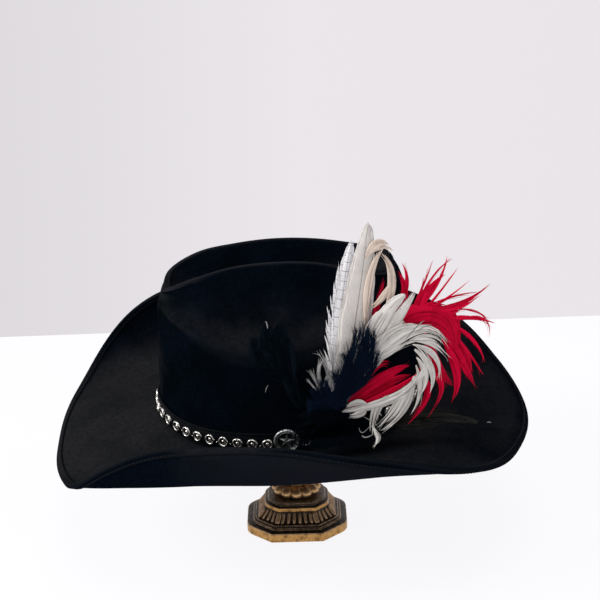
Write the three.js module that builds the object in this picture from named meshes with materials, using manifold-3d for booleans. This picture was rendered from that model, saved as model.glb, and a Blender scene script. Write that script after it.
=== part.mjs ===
// A wide-brim felt hat with a studded band and a bunch of plumes, resting on the small cast stand that shows it.
// Millimetres, +Z up. The origin is under the middle of the stand's foot, the front of the hat points to -Y
// and the plumes are on the +X side. The hat has a frame of its own, with its origin in the middle of the
// crease where crown and brim meet, and leans on the stand a little forward and towards +X.

import * as THREE from 'three';
import { mergeVertices } from 'three/addons/utils/BufferGeometryUtils.js';
import Module from 'manifold-3d';

const wasm = await Module();
wasm.setup();

const GAP = 0.3;
const DEG = Math.PI / 180;

// The hat on its stand: where the middle of the crease lies, and how the hat leans.
const HAT_PLACE = { x: 0.1, y: -4.8, z: 112.1, forward: 4.42 * DEG, sideways: 7.1 * DEG, turn: -1.64 * DEG };

// Felt: the crease is an oval, and every section stands square to it.
const FELT_WALL = 2;
const CREASE = { halfLength: 103, halfWidth: 88, centreY: 1.5 };
const COLUMNS = 40;

// Nine brim sections, 22.5 degrees apart from the front to the back; the far side mirrors the near one.
// The brim leaves the crease straight, at the start slope, for a share of its width, and then runs in an arc
// that ends at the edge slope. Widths and the height of the crease are in mm, slopes in degrees.
const BRIM = [
  { width: 94, start: -16, edge: -46, straight: 0.86, crease: 0 },
  { width: 99, start: -13, edge: 1, straight: 0.80, crease: 0 },
  { width: 111, start: -8.7, edge: 82, straight: 0.46, crease: -3.3 },
  { width: 106, start: 7, edge: 152, straight: 0.58, crease: -4 },
  { width: 106, start: 10.7, edge: 163, straight: 0.64, crease: -4.5 },
  { width: 96, start: 8, edge: 114, straight: 0.77, crease: -4 },
  { width: 101, start: -3, edge: 27, straight: 0.83, crease: -1 },
  { width: 91, start: -13, edge: -33, straight: 0.84, crease: 0 },
  { width: 90, start: -18, edge: -54, straight: 0.86, crease: 0 },
];
// The near side of the brim is cut this much narrower at its middle, and this much more towards the front.
const NEAR_TRIM = { middle: 5.4, front: 5.8 };
const BRIM_ROWS = [0.2, 0.38, 0.54, 0.68, 0.78, 0.86, 0.94];

// Nine crown sections at the same angles. Each is drawn as distance in from the crease and height above it:
// the wall leans in to the lip, dips to the side dent, rises to the ridge and falls into the long top dent,
// whose floor runs fore and aft in the middle of the hat.
const CROWN = [
  { lean: 7, lipIn: 9, lipUp: 88, dentIn: 13, dentUp: 97, ridgeIn: 18, ridgeUp: 100, soft: 5, valleyUp: 97 },
  { lean: 7, lipIn: 10, lipUp: 91, dentIn: 14, dentUp: 100, ridgeIn: 19, ridgeUp: 108, soft: 5, valleyUp: 96 },
  { lean: 7, lipIn: 10, lipUp: 84, dentIn: 24, dentUp: 97, ridgeIn: 37, ridgeUp: 117, soft: 4, valleyUp: 97 },
  { lean: 6, lipIn: 9, lipUp: 72, dentIn: 33, dentUp: 88, ridgeIn: 57, ridgeUp: 122, soft: 3, valleyUp: 99 },
  { lean: 6, lipIn: 10, lipUp: 66, dentIn: 38, dentUp: 85, ridgeIn: 63, ridgeUp: 123, soft: 3, valleyUp: 100 },
  { lean: 6, lipIn: 9, lipUp: 67, dentIn: 33, dentUp: 85, ridgeIn: 57, ridgeUp: 120, soft: 3, valleyUp: 99 },
  { lean: 4, lipIn: 7, lipUp: 76, dentIn: 20, dentUp: 92, ridgeIn: 38, ridgeUp: 113, soft: 4, valleyUp: 97 },
  { lean: 2, lipIn: 4, lipUp: 84, dentIn: 9, dentUp: 98, ridgeIn: 15, ridgeUp: 107, soft: 5, valleyUp: 96 },
  { lean: 1, lipIn: 3, lipUp: 82, dentIn: 7, dentUp: 95, ridgeIn: 13, ridgeUp: 103, soft: 5, valleyUp: 96 },
];
const VALLEY_HALF_LENGTH = 70;
const CROWN_STEPS = 13;

// Binding: a folded strip sewn over the brim's edge.
const BINDING = { depth: 6, cloth: 0.8 };

// Band: a strap with ring studs, and a round medallion on the near side. Heights are above the crease.
const STRAP = { thickness: 2, top: 16.3, bottomGap: 1.2 };
const STUD = { radius: 4.2, height: 1.8, sunk: 1, pitch: 11.74, count: 51, up: 8.3, sides: 6, first: 14.5 };
const MEDALLION = { radius: 9.6, y: 1.5, z: 6.5, thickness: 1.6, rim: 2.6, sides: 20, star: 7, starDepth: 1.3 };

// Plumes. A lock is a flat blade whose middle line is a curve from its root through a middle point to its tip.
// They are drawn on a sheet that stands just off the crown: y is mm back from the middle of the hat and z mm
// above the crease. Each feather lies in its own layer, further out from the crown the higher its number.
const SHEET = { x: 97, leanPerZ: -0.1, leanPerY: -0.08, fromY: 20, clearZ: 14, clearSlope: 1.2 };
const LAYER = { pitch: 1.7, spread: 0.006, thickness: 1.1, riseOut: 0.51, shiftOut: -0.05 };
const HEAD = { y: 34, z: 24, halfY: 21, halfZ: 17, halfX: 16, locks: 11, lockDepth: 0.14, sides: 22, rings: 7 };
const LOCK_STEPS = { broad: [0, 0.25, 0.55, 0.85], narrow: [0, 0.35, 0.75], narrowUnder: 7.5 };
const FEATHER_COLOURS = { white: 0xd8d5cd, red: 0xb01a30, navy: 0x101a2c, olive: 0x1a1d18 };
// Columns of a lock: root y, root z, middle y, middle z, tip y, tip z, width.
const FEATHERS = [
  { name: 'white_barred', colour: 'white', layer: 0, locks: [
    [42, 40, 54, 98, 64, 156, 13],
    [44, 60, 51, 100, 60, 151, 9],
    [45, 60, 47, 98, 52, 127, 8],
    [43, 50, 42, 85, 46, 116, 7],
  ] },
  { name: 'crown_plume', colour: 'navy', layer: 0, locks: [
    [18, 32, 9, 54, 2, 104, 9],
    [12, 54, -1, 80, -2, 104, 13],
    [11, 54, -9, 74, -12, 94, 11],
    [11, 54, 6, 80, 8, 103, 12],
    [12, 54, 12, 76, 10, 90, 8],
  ] },
  { name: 'red_back', colour: 'red', layer: 0, locks: [
    [46, 28, 72, 70, 88, 118, 7],
    [72, 86, 78, 106, 86, 127, 5],
    [76, 88, 97, 108, 94, 132, 8],
    [90, 100, 100, 118, 98, 135, 4],
    [70, 92, 77, 98, 88, 108, 5],
  ] },
  { name: 'brim_plume', colour: 'olive', layer: 0, locks: [
    [48, 16, 104, 15, 145, 5, 7],
    [86, 15, 112, 17, 134, 12, 6],
    [66, 14, 92, 9, 120, 8, 6],
  ] },
  { name: 'white_tall', colour: 'white', layer: 1, locks: [
    [46, 40, 60, 104, 77, 167, 13],
    [52, 70, 61, 110, 70, 150, 10],
    [54, 66, 66, 100, 71, 128, 8],
    [52, 60, 64, 82, 69, 102, 6],
  ] },
  { name: 'red_fan', colour: 'red', layer: 1, locks: [
    [52, 32, 74, 70, 96, 90, 7],
    [84, 80, 106, 96, 128, 88, 15],
    [100, 88, 122, 84, 130, 64, 12],
    [108, 96, 127, 88, 130, 62, 15],
    [98, 92, 112, 116, 120, 134, 4],
    [104, 96, 122, 116, 130, 136, 5],
    [104, 98, 119, 121, 134, 133, 3],
    [106, 96, 116, 113, 129, 122, 5],
    [112, 97, 137, 99, 160, 111, 7],
    [112, 100, 136, 105, 151, 105, 2],
    [118, 96, 138, 97, 152, 105, 5],
    [116, 93, 131, 93, 141, 97, 6],
    [134, 95, 150, 90, 156, 80, 2],
    [122, 88, 143, 87, 162, 80, 4],
    [134, 87, 153, 85, 156, 70, 2],
    [130, 84, 145, 69, 152, 51, 4],
    [132, 76, 143, 56, 150, 42, 3],
    [126, 78, 136, 53, 145, 32, 8],
    [133, 74, 140, 56, 141, 41, 5],
    [122, 74, 131, 45, 125, 21, 7],
    [110, 80, 117, 54, 128, 36, 9],
  ] },
  { name: 'white_bent', colour: 'white', layer: 2, locks: [
    [46, 30, 75, 74, 83, 102, 6],
    [82, 94, 90, 125, 82, 145, 6],
    [73, 141, 82, 150, 90, 148, 5],
    [78, 144, 87, 147, 92, 143, 4],
    [84, 144, 76, 145, 68, 126, 7],
    [88, 120, 81, 109, 70, 103, 6],
  ] },
  { name: 'white_fluff', colour: 'white', layer: 2, locks: [
    [34, 34, 41, 72, 38, 94, 5],
    [28, 34, 31, 62, 30, 76, 5],
    [26, 34, 25, 54, 25, 68, 6],
    [28, 36, 33, 58, 36, 74, 6],
    [40, 40, 47, 66, 52, 82, 5],
    [44, 40, 53, 70, 56, 88, 5],
    [22, 46, 36, 47, 52, 56, 7],
  ] },
  { name: 'white_middle', colour: 'white', layer: 4, locks: [
    [44, 34, 76, 88, 99, 110, 10],
    [46, 34, 86, 86, 106, 112, 9],
    [45, 34, 80, 90, 90, 104, 10],
    [44, 34, 70, 82, 82, 99, 10],
    [46, 34, 84, 76, 95, 91, 9],
  ] },
  { name: 'red_low', colour: 'red', layer: 3, locks: [
    [46, 30, 77, 50, 98, 57, 10],
    [48, 30, 69, 56, 84, 60, 7],
    [46, 29, 80, 45, 98, 49, 9],
    [46, 28, 72, 40, 92, 42, 7],
    [46, 27, 66, 36, 78, 38, 5],
  ] },
  { name: 'white_sweep', colour: 'white', layer: 5, locks: [
    [42, 34, 99, 81, 127, 64, 10],
    [43, 34, 84, 81, 112, 79, 9],
    [91, 81, 101, 86, 113, 82, 3],
    [104, 74, 117, 69, 126, 56, 5],
    [96, 73, 112, 76, 122, 68, 6],
    [60, 58, 84, 68, 100, 76, 6],
  ] },
  { name: 'red_fringe', colour: 'red', layer: 5, locks: [
    [45, 27, 88, 41, 107, 54, 5],
    [104, 50, 108, 32, 91, 11, 6],
    [104, 52, 119, 38, 106, 13, 5],
    [102, 50, 113, 58, 117, 46, 4],
  ] },
  { name: 'white_crook', colour: 'white', layer: 6, locks: [
    [43, 28, 84, 33, 104, 52, 8],
    [92, 39, 110, 54, 101, 73, 8],
    [101, 72, 116, 61, 118, 42, 6],
    [102, 68, 113, 50, 109, 31, 6],
    [103, 62, 108, 46, 101, 31, 6],
    [102, 56, 103, 35, 94, 18, 4],
    [100, 48, 90, 24, 71, 9, 8],
    [92, 40, 85, 26, 69, 12, 9],
    [80, 35, 70, 24, 66, 6, 8],
    [66, 14, 70, 4, 66, -2, 3],
    [64, 31, 56, 35, 48, 29, 7],
    [64, 28, 57, 24, 50, 24, 7],
  ] },
  { name: 'navy_main', colour: 'navy', layer: 7, locks: [
    [28, 30, 57, 56, 70, 97, 14],
    [38, 32, 67, 64, 72, 88, 8],
    [36, 32, 57, 70, 64, 93, 7],
    [34, 30, 60, 50, 68, 66, 10],
    [30, 28, 42, 40, 54, 39, 8],
  ] },
];

// Stand: octagonal courses, each a square with its corners cut off, from the floor up.
const FOOT = [
  { z: 0, across: 81, corner: 20 },
  { z: 7, across: 81, corner: 20 },
  { z: 8, across: 78, corner: 19 },
  { z: 9.4, across: 69, corner: 16 },
  { z: 11.5, across: 64, corner: 15 },
  { z: 13.5, across: 60, corner: 14 },
  { z: 16.5, across: 55, corner: 12.5 },
  { z: 20.3, across: 51, corner: 11 },
  { z: 23, across: 50, corner: 11 },
  { z: 23.6, across: 47, corner: 11 },
  { z: 26.3, across: 46, corner: 10.5 },
];
const KNOP = { petals: 12, petalDepth: 0.07, sides: 24 };
const KNOP_PROFILE = [
  { z: 26.6, radius: 16, lobed: 1 },
  { z: 28.5, radius: 18.5, lobed: 1 },
  { z: 31.5, radius: 18.5, lobed: 1 },
  { z: 34.5, radius: 15.5, lobed: 1 },
  { z: 36, radius: 12, lobed: 0 },
  { z: 37.5, radius: 14, lobed: 0 },
  { z: 40, radius: 14, lobed: 0 },
  { z: 42, radius: 10, lobed: 0 },
];
const POST = { radius: 6, sides: 12 };
const CAP = { radius: 30, domeRadius: 62, rimHeight: 4, rings: 3, sides: 20, clear: 0.5 };

function standard(color, roughness, metalness) {
  return new THREE.MeshStandardMaterial({ color, roughness, metalness, side: THREE.FrontSide });
}

function named(name, geometry, material) {
  const mesh = new THREE.Mesh(geometry, material);
  mesh.name = name;
  return mesh;
}

// One column of a nine-row table, read at any angle as a smooth curve that mirrors at the front and the back.
function tableAt(table, column, angle) {
  const last = table.length - 1;
  const wrapped = Math.abs(Math.atan2(Math.sin(angle), Math.cos(angle)));
  const place = wrapped / Math.PI * last;
  const row = Math.min(Math.floor(place), last - 1);
  const f = place - row;
  const mirror = (i) => (i < 0 ? -i : i > last ? 2 * last - i : i);
  const [a, b, c, d] = [row - 1, row, row + 1, row + 2].map((i) => table[mirror(i)][column]);
  return b + 0.5 * f * (c - a + f * (2 * a - 5 * b + 4 * c - d + f * (3 * (b - c) + d - a)));
}

function creasePoint(angle) {
  return {
    x: CREASE.halfWidth * Math.sin(angle),
    y: CREASE.centreY - CREASE.halfLength * Math.cos(angle),
  };
}

function outward(angle) {
  const across = new THREE.Vector2(
    Math.sin(angle) / CREASE.halfWidth,
    -Math.cos(angle) / CREASE.halfLength,
  );
  return across.normalize();
}

function brimWidth(angle) {
  const trim = NEAR_TRIM.middle * Math.sin(angle) + NEAR_TRIM.front * Math.sin(2 * angle);
  return tableAt(BRIM, 'width', angle) - trim;
}

// A point on the brim's top, a given distance out from the crease along the section.
function brimPoint(angle, along) {
  const width = brimWidth(angle);
  const start = tableAt(BRIM, 'start', angle) * DEG;
  const edge = tableAt(BRIM, 'edge', angle) * DEG;
  const straight = tableAt(BRIM, 'straight', angle) * width;
  const onLine = Math.min(along, straight);
  let out = onLine * Math.cos(start);
  let up = tableAt(BRIM, 'crease', angle) + onLine * Math.sin(start);
  if (along > straight) {
    const radius = (width - straight) / (edge - start);
    const slope = start + (along - straight) / radius;
    out += radius * (Math.sin(slope) - Math.sin(start));
    up += radius * (Math.cos(start) - Math.cos(slope));
  }
  const foot = creasePoint(angle);
  const across = outward(angle);
  return new THREE.Vector3(foot.x + across.x * out, foot.y + across.y * out, up);
}

// The control points of one crown section, as distance in and height, from the crease to the top dent's floor.
function crownControls(angle, inMost) {
  const at = (column) => tableAt(CROWN, column, angle);
  const soft = at('soft');
  const [ridgeIn, ridgeUp, valleyUp] = [at('ridgeIn'), at('ridgeUp'), at('valleyUp')];
  const [lipIn, lipUp, dentIn, dentUp] = [at('lipIn'), at('lipUp'), at('dentIn'), at('dentUp')];
  const drop = ridgeUp - valleyUp;
  const run = inMost - ridgeIn;
  return [
    [0, tableAt(BRIM, 'crease', angle)],
    [at('lean') * 0.35, lipUp * 0.35],
    [at('lean'), lipUp * 0.75],
    [lipIn, lipUp],
    [(dentIn + lipIn) / 2, (dentUp + lipUp) / 2],
    [dentIn, dentUp],
    [ridgeIn * 0.75 + dentIn * 0.25, ridgeUp * 0.6 + dentUp * 0.4],
    [ridgeIn - soft * 0.6, ridgeUp - soft * 0.3],
    [ridgeIn + soft * 0.5, ridgeUp + 0.6],
    [ridgeIn + run * 0.22, ridgeUp - drop * 0.28],
    [ridgeIn + run * 0.62, valleyUp + drop * 0.12],
    [inMost, valleyUp],
  ];
}

// A clamped quadratic B-spline through a control polygon, at a share of its length.
function splineAt(controls, share) {
  const spans = controls.length - 2;
  const place = Math.min(share * spans, spans - 1e-9);
  const span = Math.floor(place);
  const f = place - span;
  const first = span === 0 ? (1 - f) ** 2 : 0.5 * (1 - f) ** 2;
  const third = span === spans - 1 ? f ** 2 : 0.5 * f ** 2;
  const weights = [first, 1 - first - third, third];
  return [0, 1].map((axis) => weights.reduce((sum, w, k) => sum + w * controls[span + k][axis], 0));
}

function crownPoint(angle, share) {
  const foot = creasePoint(angle);
  const floorY = CREASE.centreY - VALLEY_HALF_LENGTH * Math.cos(angle);
  const inMost = Math.hypot(foot.x, foot.y - floorY);
  const [inward, up] = splineAt(crownControls(angle, inMost), share);
  const k = share === 1 ? 1 : inward / inMost;
  return new THREE.Vector3(foot.x * (1 - k), foot.y * (1 - k) + floorY * k, up);
}

// The felt's upper face as columns of points, each from the top dent's floor down the wall and out to the edge.
function feltColumns() {
  const columns = [];
  for (let i = 0; i < COLUMNS; i += 1) {
    const angle = i / COLUMNS * 2 * Math.PI;
    const column = [];
    for (let j = CROWN_STEPS; j >= 0; j -= 1) column.push(crownPoint(angle, j / CROWN_STEPS));
    const width = brimWidth(angle);
    for (const share of BRIM_ROWS) column.push(brimPoint(angle, share * (width - BINDING.depth)));
    column.push(brimPoint(angle, width - BINDING.depth));
    column.push(brimPoint(angle, width - BINDING.cloth - GAP));
    columns.push(column);
  }
  return columns;
}

// The direction in which each point moves to give the face a thickness, mitred where the section bends.
function mitres(columns) {
  const rows = columns[0].length;
  return columns.map((column, i) => column.map((point, j) => {
    if (j === 0) return new THREE.Vector3(0, 0, 1);
    const next = columns[(i + 1) % columns.length][j];
    const previous = columns[(i + columns.length - 1) % columns.length][j];
    const along = new THREE.Vector3().subVectors(next, previous);
    const faces = [];
    for (const [from, to] of [[j - 1, j], [j, j + 1]]) {
      if (to >= rows) continue;
      const across = new THREE.Vector3().subVectors(column[to], column[from]);
      faces.push(across.cross(along).normalize());
    }
    const mean = faces.reduce((sum, face) => sum.add(face), new THREE.Vector3()).normalize();
    return mean.divideScalar(Math.max(mean.dot(faces[0]), 0.65));
  }));
}

function shifted(columns, directions, distance) {
  return columns.map((column, i) => column.map(
    (point, j) => point.clone().addScaledVector(directions[i][j], distance),
  ));
}

function closedGeometry(positions, triangles) {
  const geometry = new THREE.BufferGeometry();
  const flat = positions.flatMap((p) => [p.x, p.y, p.z]);
  geometry.setAttribute('position', new THREE.Float32BufferAttribute(flat, 3));
  geometry.setIndex(triangles);
  return mergeVertices(geometry, 1e-4);
}

// Rings of points, one closed section after another, joined into a closed loop of wall. The strips that are
// named as crossed are split along their other diagonal, so that the two faces of a thin wall stay parallel.
function loopOfSections(sections, crossed = []) {
  const points = sections.flat();
  const size = sections[0].length;
  const triangles = [];
  sections.forEach((section, i) => {
    const a = i * size;
    const b = ((i + 1) % sections.length) * size;
    for (let k = 0; k < size; k += 1) {
      const m = (k + 1) % size;
      if (crossed.includes(k)) triangles.push(a + k, b + k, a + m, b + k, b + m, a + m);
      else triangles.push(a + k, b + k, b + m, a + k, b + m, a + m);
    }
  });
  return closedGeometry(points, triangles);
}

// Level rings stacked upwards, closed by a flat fan at both ends.
function stackOfRings(rings) {
  const size = rings[0].length;
  const points = rings.flat();
  const triangles = [];
  for (let i = 0; i < rings.length - 1; i += 1) {
    for (let k = 0; k < size; k += 1) {
      const m = (k + 1) % size;
      const [a, b, c, d] = [i * size + k, i * size + m, (i + 1) * size + m, (i + 1) * size + k];
      triangles.push(a, b, c, a, c, d);
    }
  }
  const ends = [[0, -1], [(rings.length - 1) * size, 1]];
  for (const [base, way] of ends) {
    const centre = new THREE.Vector3();
    for (let k = 0; k < size; k += 1) centre.add(points[base + k]);
    points.push(centre.divideScalar(size));
    for (let k = 0; k < size; k += 1) {
      const [a, b] = [base + k, base + (k + 1) % size];
      triangles.push(points.length - 1, way > 0 ? a : b, way > 0 ? b : a);
    }
  }
  return closedGeometry(points, triangles);
}

// Solids for cutting and joining: only the positions count, with shared corners merged.
function toSolid(geometry) {
  const bare = geometry.clone();
  for (const name of ['normal', 'uv']) bare.deleteAttribute(name);
  const merged = mergeVertices(bare, 1e-4);
  return new wasm.Manifold(new wasm.Mesh({
    numProp: 3,
    vertProperties: new Float32Array(merged.attributes.position.array),
    triVerts: new Uint32Array(merged.index.array),
  }));
}

function toGeometry(solid) {
  const { vertProperties, triVerts, numProp } = solid.getMesh();
  const points = [];
  for (let i = 0; i < vertProperties.length; i += numProp) {
    points.push(new THREE.Vector3(vertProperties[i], vertProperties[i + 1], vertProperties[i + 2]));
  }
  const geometry = new THREE.BufferGeometry().setFromPoints(points);
  geometry.setIndex(Array.from(triVerts));
  return geometry;
}

const FELT_TOP = feltColumns();
const FELT_OUT = mitres(FELT_TOP);

// The felt, or with a margin the room that it takes up with a clearance on both faces.
function feltBody(margin) {
  const top = shifted(FELT_TOP, FELT_OUT, margin);
  const under = shifted(FELT_TOP, FELT_OUT, -FELT_WALL - margin);
  const points = [...top.flat(), ...under.flat()];
  const rows = FELT_TOP[0].length;
  const below = COLUMNS * rows;
  const triangles = [];
  for (let i = 0; i < COLUMNS; i += 1) {
    const a = i * rows;
    const b = ((i + 1) % COLUMNS) * rows;
    for (let j = 0; j < rows - 1; j += 1) {
      triangles.push(a + j, a + j + 1, b + j + 1, a + j, b + j + 1, b + j);
      triangles.push(below + a + j, below + b + j, below + a + j + 1);
      triangles.push(below + b + j, below + b + j + 1, below + a + j + 1);
    }
    const [p, q] = [a + rows - 1, b + rows - 1];
    triangles.push(p, below + p, below + q, p, below + q, q);
  }
  const merged = closedGeometry(points, triangles);
  return withoutFlatTriangles(merged);
}

// The two triangles that close on themselves at each end of the top dent's floor are dropped.
function withoutFlatTriangles(geometry) {
  const index = geometry.index.array;
  const kept = [];
  for (let i = 0; i < index.length; i += 3) {
    const [a, b, c] = [index[i], index[i + 1], index[i + 2]];
    if (a !== b && b !== c && c !== a) kept.push(a, b, c);
  }
  geometry.setIndex(kept);
  return geometry;
}

function brimBinding() {
  const depthRow = FELT_TOP[0].length - 2;
  const lid = GAP + BINDING.cloth;
  const sections = FELT_TOP.map((column, i) => {
    const angle = i / COLUMNS * 2 * Math.PI;
    const inner = column[depthRow];
    const felt = column[depthRow + 1];
    const tip = brimPoint(angle, brimWidth(angle));
    const lining = felt.clone().lerp(tip, GAP / lid);
    const at = (point, row, lift) => point.clone().addScaledVector(FELT_OUT[i][row], lift);
    return [
      at(inner, depthRow, GAP),
      at(lining, depthRow + 1, GAP),
      at(lining, depthRow + 1, -FELT_WALL - GAP),
      at(inner, depthRow, -FELT_WALL - GAP),
      at(inner, depthRow, -FELT_WALL - lid),
      at(tip, depthRow + 1, -FELT_WALL - lid),
      at(tip, depthRow + 1, lid),
      at(inner, depthRow, lid),
    ];
  });
  return loopOfSections(sections, [4, 6]);
}

// The wall's outer face at a height, found along the crown's section.
function wallPoint(angle, height) {
  let [low, high] = [0, 0.35];
  for (let i = 0; i < 30; i += 1) {
    const middle = (low + high) / 2;
    if (crownPoint(angle, middle).z < height) low = middle;
    else high = middle;
  }
  return crownPoint(angle, low);
}

// The strap's four corners at an angle, a given distance further out than the wall.
function strapSection(angle, inner, outer, bottomGap, top) {
  const out = outward(angle);
  const away = (height, distance) => {
    const point = wallPoint(angle, height);
    return new THREE.Vector3(point.x + out.x * distance, point.y + out.y * distance, height);
  };
  const crease = tableAt(BRIM, 'crease', angle);
  const [low, high] = [crease + bottomGap, crease + top];
  return [away(low, inner), away(low, outer), away(high, outer), away(high, inner)];
}

function strapSections(inner, outer, bottomGap, top) {
  const sections = [];
  for (let i = 0; i < COLUMNS; i += 1) {
    sections.push(strapSection(i / COLUMNS * 2 * Math.PI, inner, outer, bottomGap, top));
  }
  return sections;
}

function studGeometry() {
  const profile = [
    [0, -STUD.sunk],
    [STUD.radius, -STUD.sunk],
    [STUD.radius, STUD.height * 0.4],
    [0, STUD.height],
  ].map(([r, h]) => new THREE.Vector2(r, h));
  return new THREE.LatheGeometry(profile, STUD.sides);
}

// Turns a piece made along +Y so that it looks outwards from the strap at an angle round the crown.
function lookOut(geometry, angle, height, distance) {
  const out = outward(angle);
  const [low, high] = [wallPoint(angle, height - 6), wallPoint(angle, height + 6)];
  const lean = Math.hypot(low.x - high.x, low.y - high.y) / 12;
  const way = new THREE.Vector3(out.x, out.y, lean).normalize();
  const turn = new THREE.Quaternion().setFromUnitVectors(new THREE.Vector3(0, 1, 0), way);
  const wall = wallPoint(angle, height);
  geometry.applyQuaternion(turn);
  geometry.translate(wall.x + out.x * distance, wall.y + out.y * distance, height);
  return geometry;
}

// Angles of the studs: equal steps along the strap, counted forward from the medallion.
function studAngles() {
  const steps = 2000;
  const reach = STRAP.thickness + GAP;
  const lengths = [0];
  const angleOf = (i) => Math.PI / 2 - i / steps * 2 * Math.PI;
  const placeOf = (i) => {
    const angle = angleOf(i);
    const out = outward(angle);
    const point = creasePoint(angle);
    return new THREE.Vector2(point.x + out.x * reach, point.y + out.y * reach);
  };
  for (let i = 1; i <= steps; i += 1) {
    lengths.push(lengths[i - 1] + placeOf(i).distanceTo(placeOf(i - 1)));
  }
  const angles = [];
  for (let k = 0; k < STUD.count; k += 1) {
    const wanted = STUD.first + k * STUD.pitch;
    const i = lengths.findIndex((length) => length >= wanted);
    angles.push(angleOf(i));
  }
  return angles;
}

function hatBand() {
  const inner = GAP + 0.05;
  const strap = loopOfSections(strapSections(inner, inner + STRAP.thickness, STRAP.bottomGap, STRAP.top));
  let solid = toSolid(strap);
  for (const angle of studAngles()) {
    const height = tableAt(BRIM, 'crease', angle) + STUD.up;
    const stud = lookOut(studGeometry(), angle, height, inner + STRAP.thickness);
    solid = solid.add(toSolid(stud));
  }
  return toGeometry(solid);
}

function starMedallion() {
  const { radius, thickness, rim, sides, star, starDepth } = MEDALLION;
  const profile = [
    [0, 0],
    [radius, 0],
    [radius, rim - 0.6],
    [radius - 0.9, rim],
    [radius - 1.8, thickness],
    [0, thickness],
  ].map(([r, h]) => new THREE.Vector2(r, h));
  const disc = toSolid(new THREE.LatheGeometry(profile, sides));
  const outline = new THREE.Shape();
  for (let i = 0; i < 10; i += 1) {
    const reach = i % 2 === 0 ? star : star * 0.42;
    const turn = i / 10 * 2 * Math.PI + Math.PI / 2;
    const [x, y] = [reach * Math.cos(turn), reach * Math.sin(turn)];
    if (i === 0) outline.moveTo(x, y);
    else outline.lineTo(x, y);
  }
  const relief = new THREE.ExtrudeGeometry(outline, { depth: starDepth, bevelEnabled: false });
  relief.rotateX(-Math.PI / 2).translate(0, thickness - 0.5, 0);
  const solid = disc.add(toSolid(relief));
  const geometry = toGeometry(solid);
  geometry.rotateZ(-Math.PI / 2);
  const strapFace = strapSection(Math.PI / 2, 0, STRAP.thickness + GAP + 0.05, STRAP.bottomGap, STRAP.top)[1];
  geometry.translate(strapFace.x + GAP, MEDALLION.y, MEDALLION.z);
  return geometry;
}

// Where a point of a feather's chart lies: on the sheet, moved out to its layer.
function onSheet(y, z, layer, outwards) {
  const fromHead = Math.hypot(y - HEAD.y, z - HEAD.z);
  const off = layer * LAYER.pitch * (1 + LAYER.spread * fromHead);
  const x = SHEET.x + SHEET.leanPerZ * z + SHEET.leanPerY * (y - SHEET.fromY) + off + outwards;
  return new THREE.Vector3(x, y + LAYER.shiftOut * off, z + LAYER.riseOut * off);
}

// Below its clear height the chart turns outwards, over the brim. A point is [y, z, outwards].
function turnOut(point) {
  const off = Math.max(SHEET.clearZ - point[1], 0) * SHEET.clearSlope;
  point[0] += LAYER.shiftOut * off;
  point[1] += LAYER.riseOut * off;
  point[2] += off;
}

// The outline of one lock, up one side of its middle line to the tip and down the other.
function lockShape([rootY, rootZ, midY, midZ, tipY, tipZ, width]) {
  const curve = new THREE.QuadraticBezierCurve(
    new THREE.Vector2(rootY, rootZ),
    new THREE.Vector2(2 * midY - (rootY + tipY) / 2, 2 * midZ - (rootZ + tipZ) / 2),
    new THREE.Vector2(tipY, tipZ),
  );
  const [left, right] = [[], []];
  const steps = width < LOCK_STEPS.narrowUnder ? LOCK_STEPS.narrow : LOCK_STEPS.broad;
  for (const s of steps) {
    const half = width / 2 * Math.min(1, 0.45 + 1.3 * s) * Math.sqrt(1 - s ** 2.6);
    const middle = curve.getPoint(s);
    const way = curve.getTangent(s);
    left.push(new THREE.Vector2(middle.x - way.y * half, middle.y + way.x * half));
    right.unshift(new THREE.Vector2(middle.x + way.y * half, middle.y - way.x * half));
  }
  return new THREE.Shape([...left, curve.getPoint(1), ...right].reverse());
}

function feather({ layer, locks }, head) {
  let flat = null;
  for (const lock of locks) {
    const blade = new THREE.ExtrudeGeometry(lockShape(lock), { depth: LAYER.thickness, bevelEnabled: false });
    const solid = toSolid(blade);
    flat = flat ? flat.add(solid) : solid;
  }
  const [upper, lower] = flat.splitByPlane([0, 1, 0], SHEET.clearZ);
  const turned = upper.add(lower.warp(turnOut));
  const placed = turned.warp((point) => {
    const onCrown = onSheet(point[0], point[1], layer, point[2]);
    [point[0], point[1], point[2]] = onCrown.toArray();
  });
  return toGeometry(placed.subtract(head));
}

// The mass of down: a rounded cushion with locks round its edge, grown by a margin when it is used to cut.
function downCushion(margin) {
  const ball = new THREE.SphereGeometry(1, HEAD.sides, HEAD.rings);
  const position = ball.attributes.position;
  const middle = onSheet(HEAD.y, HEAD.z, 0, 0);
  for (let i = 0; i < position.count; i += 1) {
    const point = new THREE.Vector3().fromBufferAttribute(position, i);
    const turn = Math.atan2(point.z, point.y);
    const lock = 1 + HEAD.lockDepth * Math.cos(HEAD.locks * turn) * (1 - point.x ** 2);
    position.setXYZ(
      i,
      middle.x + point.x * (HEAD.halfX + margin),
      middle.y + point.y * lock * (HEAD.halfY + margin),
      middle.z + HEAD.halfX * LAYER.riseOut * point.x + point.z * lock * (HEAD.halfZ + margin),
    );
  }
  return toSolid(ball);
}

// The room that the felt, the band and the hollow behind the wall take up, all a gap larger than they are.
function feltAndBand() {
  const behind = toSolid(loopOfSections(strapSections(-20, GAP, -1, 60)));
  const reach = STRAP.thickness + GAP * 2 + STUD.height + 0.2;
  const band = toSolid(loopOfSections(strapSections(-20, reach, -1, STRAP.top + GAP)));
  return toSolid(feltBody(GAP)).add(behind).add(band);
}

function octagon({ z, across, corner }) {
  const [h, c] = [across / 2, across / 2 - corner];
  const corners = [[h, -c], [h, c], [c, h], [-c, h], [-h, c], [-h, -c], [-c, -h], [c, -h]];
  return corners.map(([x, y]) => new THREE.Vector3(x, y, z));
}

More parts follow.
